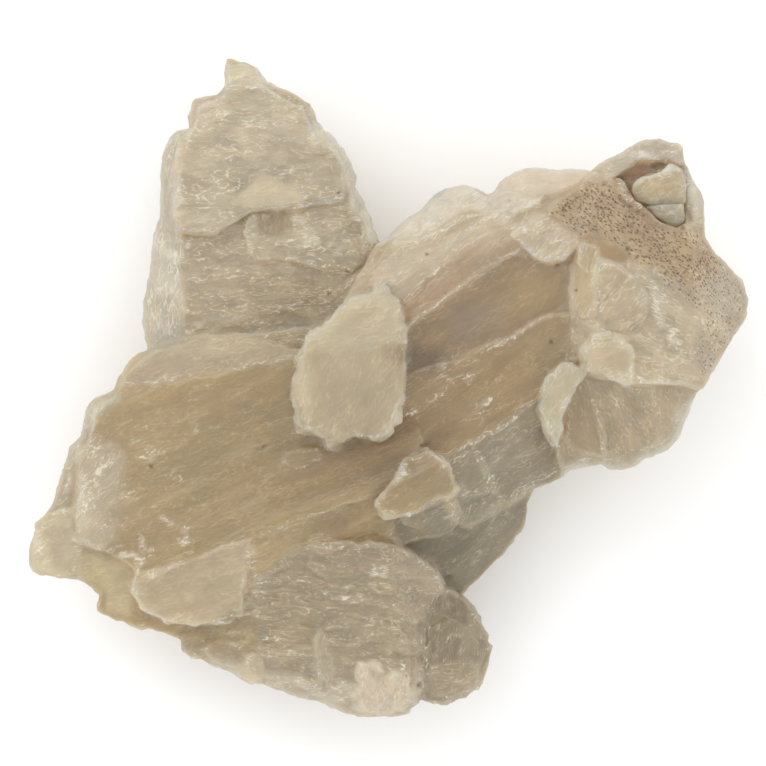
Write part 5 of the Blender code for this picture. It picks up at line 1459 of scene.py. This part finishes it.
@dataclass
class CrystalPiece:
    """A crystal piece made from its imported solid: remeshed, carved with its relief, thinned and dressed.

    The cell, the swell and flat_below are in millimetres. The swell gives back what remeshing and relief take
    off a small piece, and below flat_below the solid keeps the flat spot on which it lies.
    """

    node: str
    name: str
    slot: str
    zones: dict
    cell: float
    relief_share: float = 1.0
    swell: float = 0.0
    triangle_limit: int = 190000
    flat_below: float = 0.25
    under_facing: float = -0.25
    under_kept: float = 0.16
    smooth_angle: float = 28.0
    relief: Relief = Relief()
    wear_and_painted_light: WearAndPaintedLight = WearAndPaintedLight()

    def build(self, finish: SeleniteFinish) -> bpy.types.Object:
        """Build the piece.

        Args:
            finish: The material's values.

        Returns:
            The finished piece, which rides on the root body.
        """
        body = self.copied()
        self.remesh(body)
        self.carve(body)
        full = len(body.data.polygons)
        self.thin(body)
        bpy.ops.object.shade_smooth_by_angle(angle=math.radians(self.smooth_angle))
        body.data.materials.clear()
        body.data.materials.append(finish.material(self.name + "_selenite"))
        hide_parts(self.node)
        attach(body, "root")
        LOG.info("%s: %d faces thinned to %d", self.name, full, len(body.data.polygons))
        return body

    def copied(self) -> bpy.types.Object:
        """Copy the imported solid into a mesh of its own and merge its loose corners.

        Returns:
            The copy, selected and active.
        """
        bpy.ops.object.select_all(action="DESELECT")
        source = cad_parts[self.node]
        body = bpy.data.objects.new(self.name, source.data.copy())
        body.data.name = self.name
        bpy.context.scene.collection.objects.link(body)
        body.select_set(True)
        bpy.context.view_layer.objects.active = body
        bpy.ops.object.mode_set(mode="EDIT")
        bpy.ops.mesh.select_all(action="SELECT")
        bpy.ops.mesh.remove_doubles(threshold=0.001 * MM)
        bpy.ops.object.mode_set(mode="OBJECT")
        return body

    def remesh(self, body: bpy.types.Object) -> None:
        """Give the copy an even mesh that is fine enough for its relief.

        Args:
            body: The copy, selected and active.
        """
        modifier = body.modifiers.new("Even mesh", "REMESH")
        modifier.mode = "VOXEL"
        modifier.voxel_size = self.cell * MM
        bpy.ops.object.modifier_apply(modifier=modifier.name)

    def carve(self, body: bpy.types.Object) -> None:
        """Move the vertices by the relief of their zones and store what the material reads.

        Args:
            body: The remeshed copy.
        """
        surface = Surface(body)
        upright = surface.smoothed(surface.normal, 6)
        upright /= np.linalg.norm(upright, axis=1)[:, None]
        look = Look(surface.place, upright, self.relief)
        for zone in self.zones.values():
            look.add_zone(zone)
        for cloud in CLOUDS:
            look.add_cloud(cloud)
        look.add_walls()
        for trace in TRACES:
            look.add_trace(trace)
        for spot in DARK_SPOTS:
            look.add_spot(spot)
        edge = surface.convexity(8)
        chips = Noise.layered(surface.place / 1.5, 211, 3)
        look.height -= np.clip(edge, 0.0, 0.5) * ease(chips, -0.2, 0.7) * 1.5
        kept = ease(surface.place[:, 2], self.flat_below, 4 * self.flat_below)
        surface.place += upright * ((look.height * self.relief_share + self.swell) * kept)[:, None]
        surface.place += look.raggedness() * kept[:, None]
        surface.place[:, 2] = np.maximum(surface.place[:, 2], 0.0)
        surface.write()
        self.wear_and_painted_light.store(Surface(body), look)

    def thin(self, body: bpy.types.Object) -> None:
        """Thin the underside, where it shows least, and then the whole mesh until it is under its limit.

        Args:
            body: The carved copy, selected and active.
        """
        bpy.ops.object.mode_set(mode="EDIT")
        bpy.ops.mesh.select_mode(type="FACE")
        bpy.ops.mesh.select_all(action="DESELECT")
        bpy.ops.object.mode_set(mode="OBJECT")
        faces = body.data.polygons
        below = Surface.column(faces, "normal", len(faces) * 3).reshape(-1, 3)[:, 2] < self.under_facing
        faces.foreach_set("select", below)
        bpy.ops.object.mode_set(mode="EDIT")
        if below.any():
            bpy.ops.mesh.decimate(ratio=self.under_kept)
        bpy.ops.object.mode_set(mode="OBJECT")
        triangles = sum(len(face.vertices) - 2 for face in body.data.polygons)
        if triangles > self.triangle_limit:
            modifier = body.modifiers.new("Thinned", "DECIMATE")
            modifier.ratio = self.triangle_limit / triangles
            bpy.ops.object.modifier_apply(modifier=modifier.name)


@dataclass
class Studio:
    """The floor, the soft light and the camera. Places are in millimetres and angles in degrees."""

    lens: float = 500.0
    sensor: float = 36.0
    frame_width: float = 107.24
    middle: tuple = (-0.7, 0.7)
    level: float = 18.0
    floor_size: float = 6000.0
    floor_drop: float = 0.02
    floor_shade: float = 0.94
    key_energy: float = 0.6
    key_softness: float = 35.0
    key_turn: tuple = (-36.0, -34.0, 0.0)
    sky: float = 1.25

    def build(self) -> None:
        """Build the floor, light the scene and set the camera."""
        self.floor()
        self.lights()
        self.camera()

    def floor(self) -> None:
        """A plain pale floor under the flat spot."""
        bpy.ops.object.select_all(action="DESELECT")
        place = (0.0, 0.0, -self.floor_drop * MM)
        bpy.ops.mesh.primitive_plane_add(size=self.floor_size * MM, location=place)
        ground = bpy.context.object
        ground.name = "floor"
        bpy.ops.object.transform_apply(location=True, rotation=False, scale=False)
        made = bpy.data.materials.new("pale_floor")
        made.use_nodes = True
        shader = made.node_tree.nodes["Principled BSDF"]
        shader.inputs["Base Color"].default_value = (*[self.floor_shade] * 3, 1.0)
        shader.inputs["Roughness"].default_value = 0.9
        shader.inputs["Specular IOR Level"].default_value = 0.1
        ground.data.materials.append(made)

    def lights(self) -> None:
        """A soft key from the upper left and an even sky."""
        lamp = bpy.data.lights.new("key", "SUN")
        lamp.energy = self.key_energy
        lamp.angle = math.radians(self.key_softness)
        holder = bpy.data.objects.new("key", lamp)
        holder.rotation_euler = [math.radians(turn) for turn in self.key_turn]
        bpy.context.scene.collection.objects.link(holder)
        world = bpy.data.worlds.new("studio")
        world.use_nodes = True
        sky = world.node_tree.nodes["Background"]
        sky.inputs["Color"].default_value = (1.0, 1.0, 1.0, 1.0)
        sky.inputs["Strength"].default_value = self.sky
        bpy.context.scene.world = world
        bpy.context.scene.view_settings.view_transform = "Standard"

    def camera(self) -> None:
        """A long lens that looks straight down, framed as the photograph is."""
        lens = bpy.data.cameras.new("camera")
        lens.lens = self.lens
        lens.sensor_width = self.sensor
        lens.clip_start = 0.05
        lens.clip_end = 20.0
        eye = bpy.data.objects.new("camera", lens)
        far = self.frame_width * self.lens / self.sensor
        eye.location = Vector((*self.middle, self.level + far)) * MM
        bpy.context.scene.collection.objects.link(eye)
        bpy.context.scene.camera = eye


def main() -> None:
    """Build the three pieces, then the studio."""
    logging.basicConfig(level=logging.INFO)
    finish = SeleniteFinish()
    for piece in (
        CrystalPiece("cluster", "crystal_cluster", "honey_selenite", ZONES, cell=0.28),
        CrystalPiece("wedge_shard", "cleaved_shard", "cleaved_selenite", SHARD_ZONES, 0.12, 0.7, swell=0.17),
        CrystalPiece("edge_flake", "frayed_flake", "frayed_selenite", FLAKE_ZONES, 0.12, 0.5, swell=0.15),
    ):
        piece.build(finish)
    Studio().build()


if __name__ == "__main__":
    main()
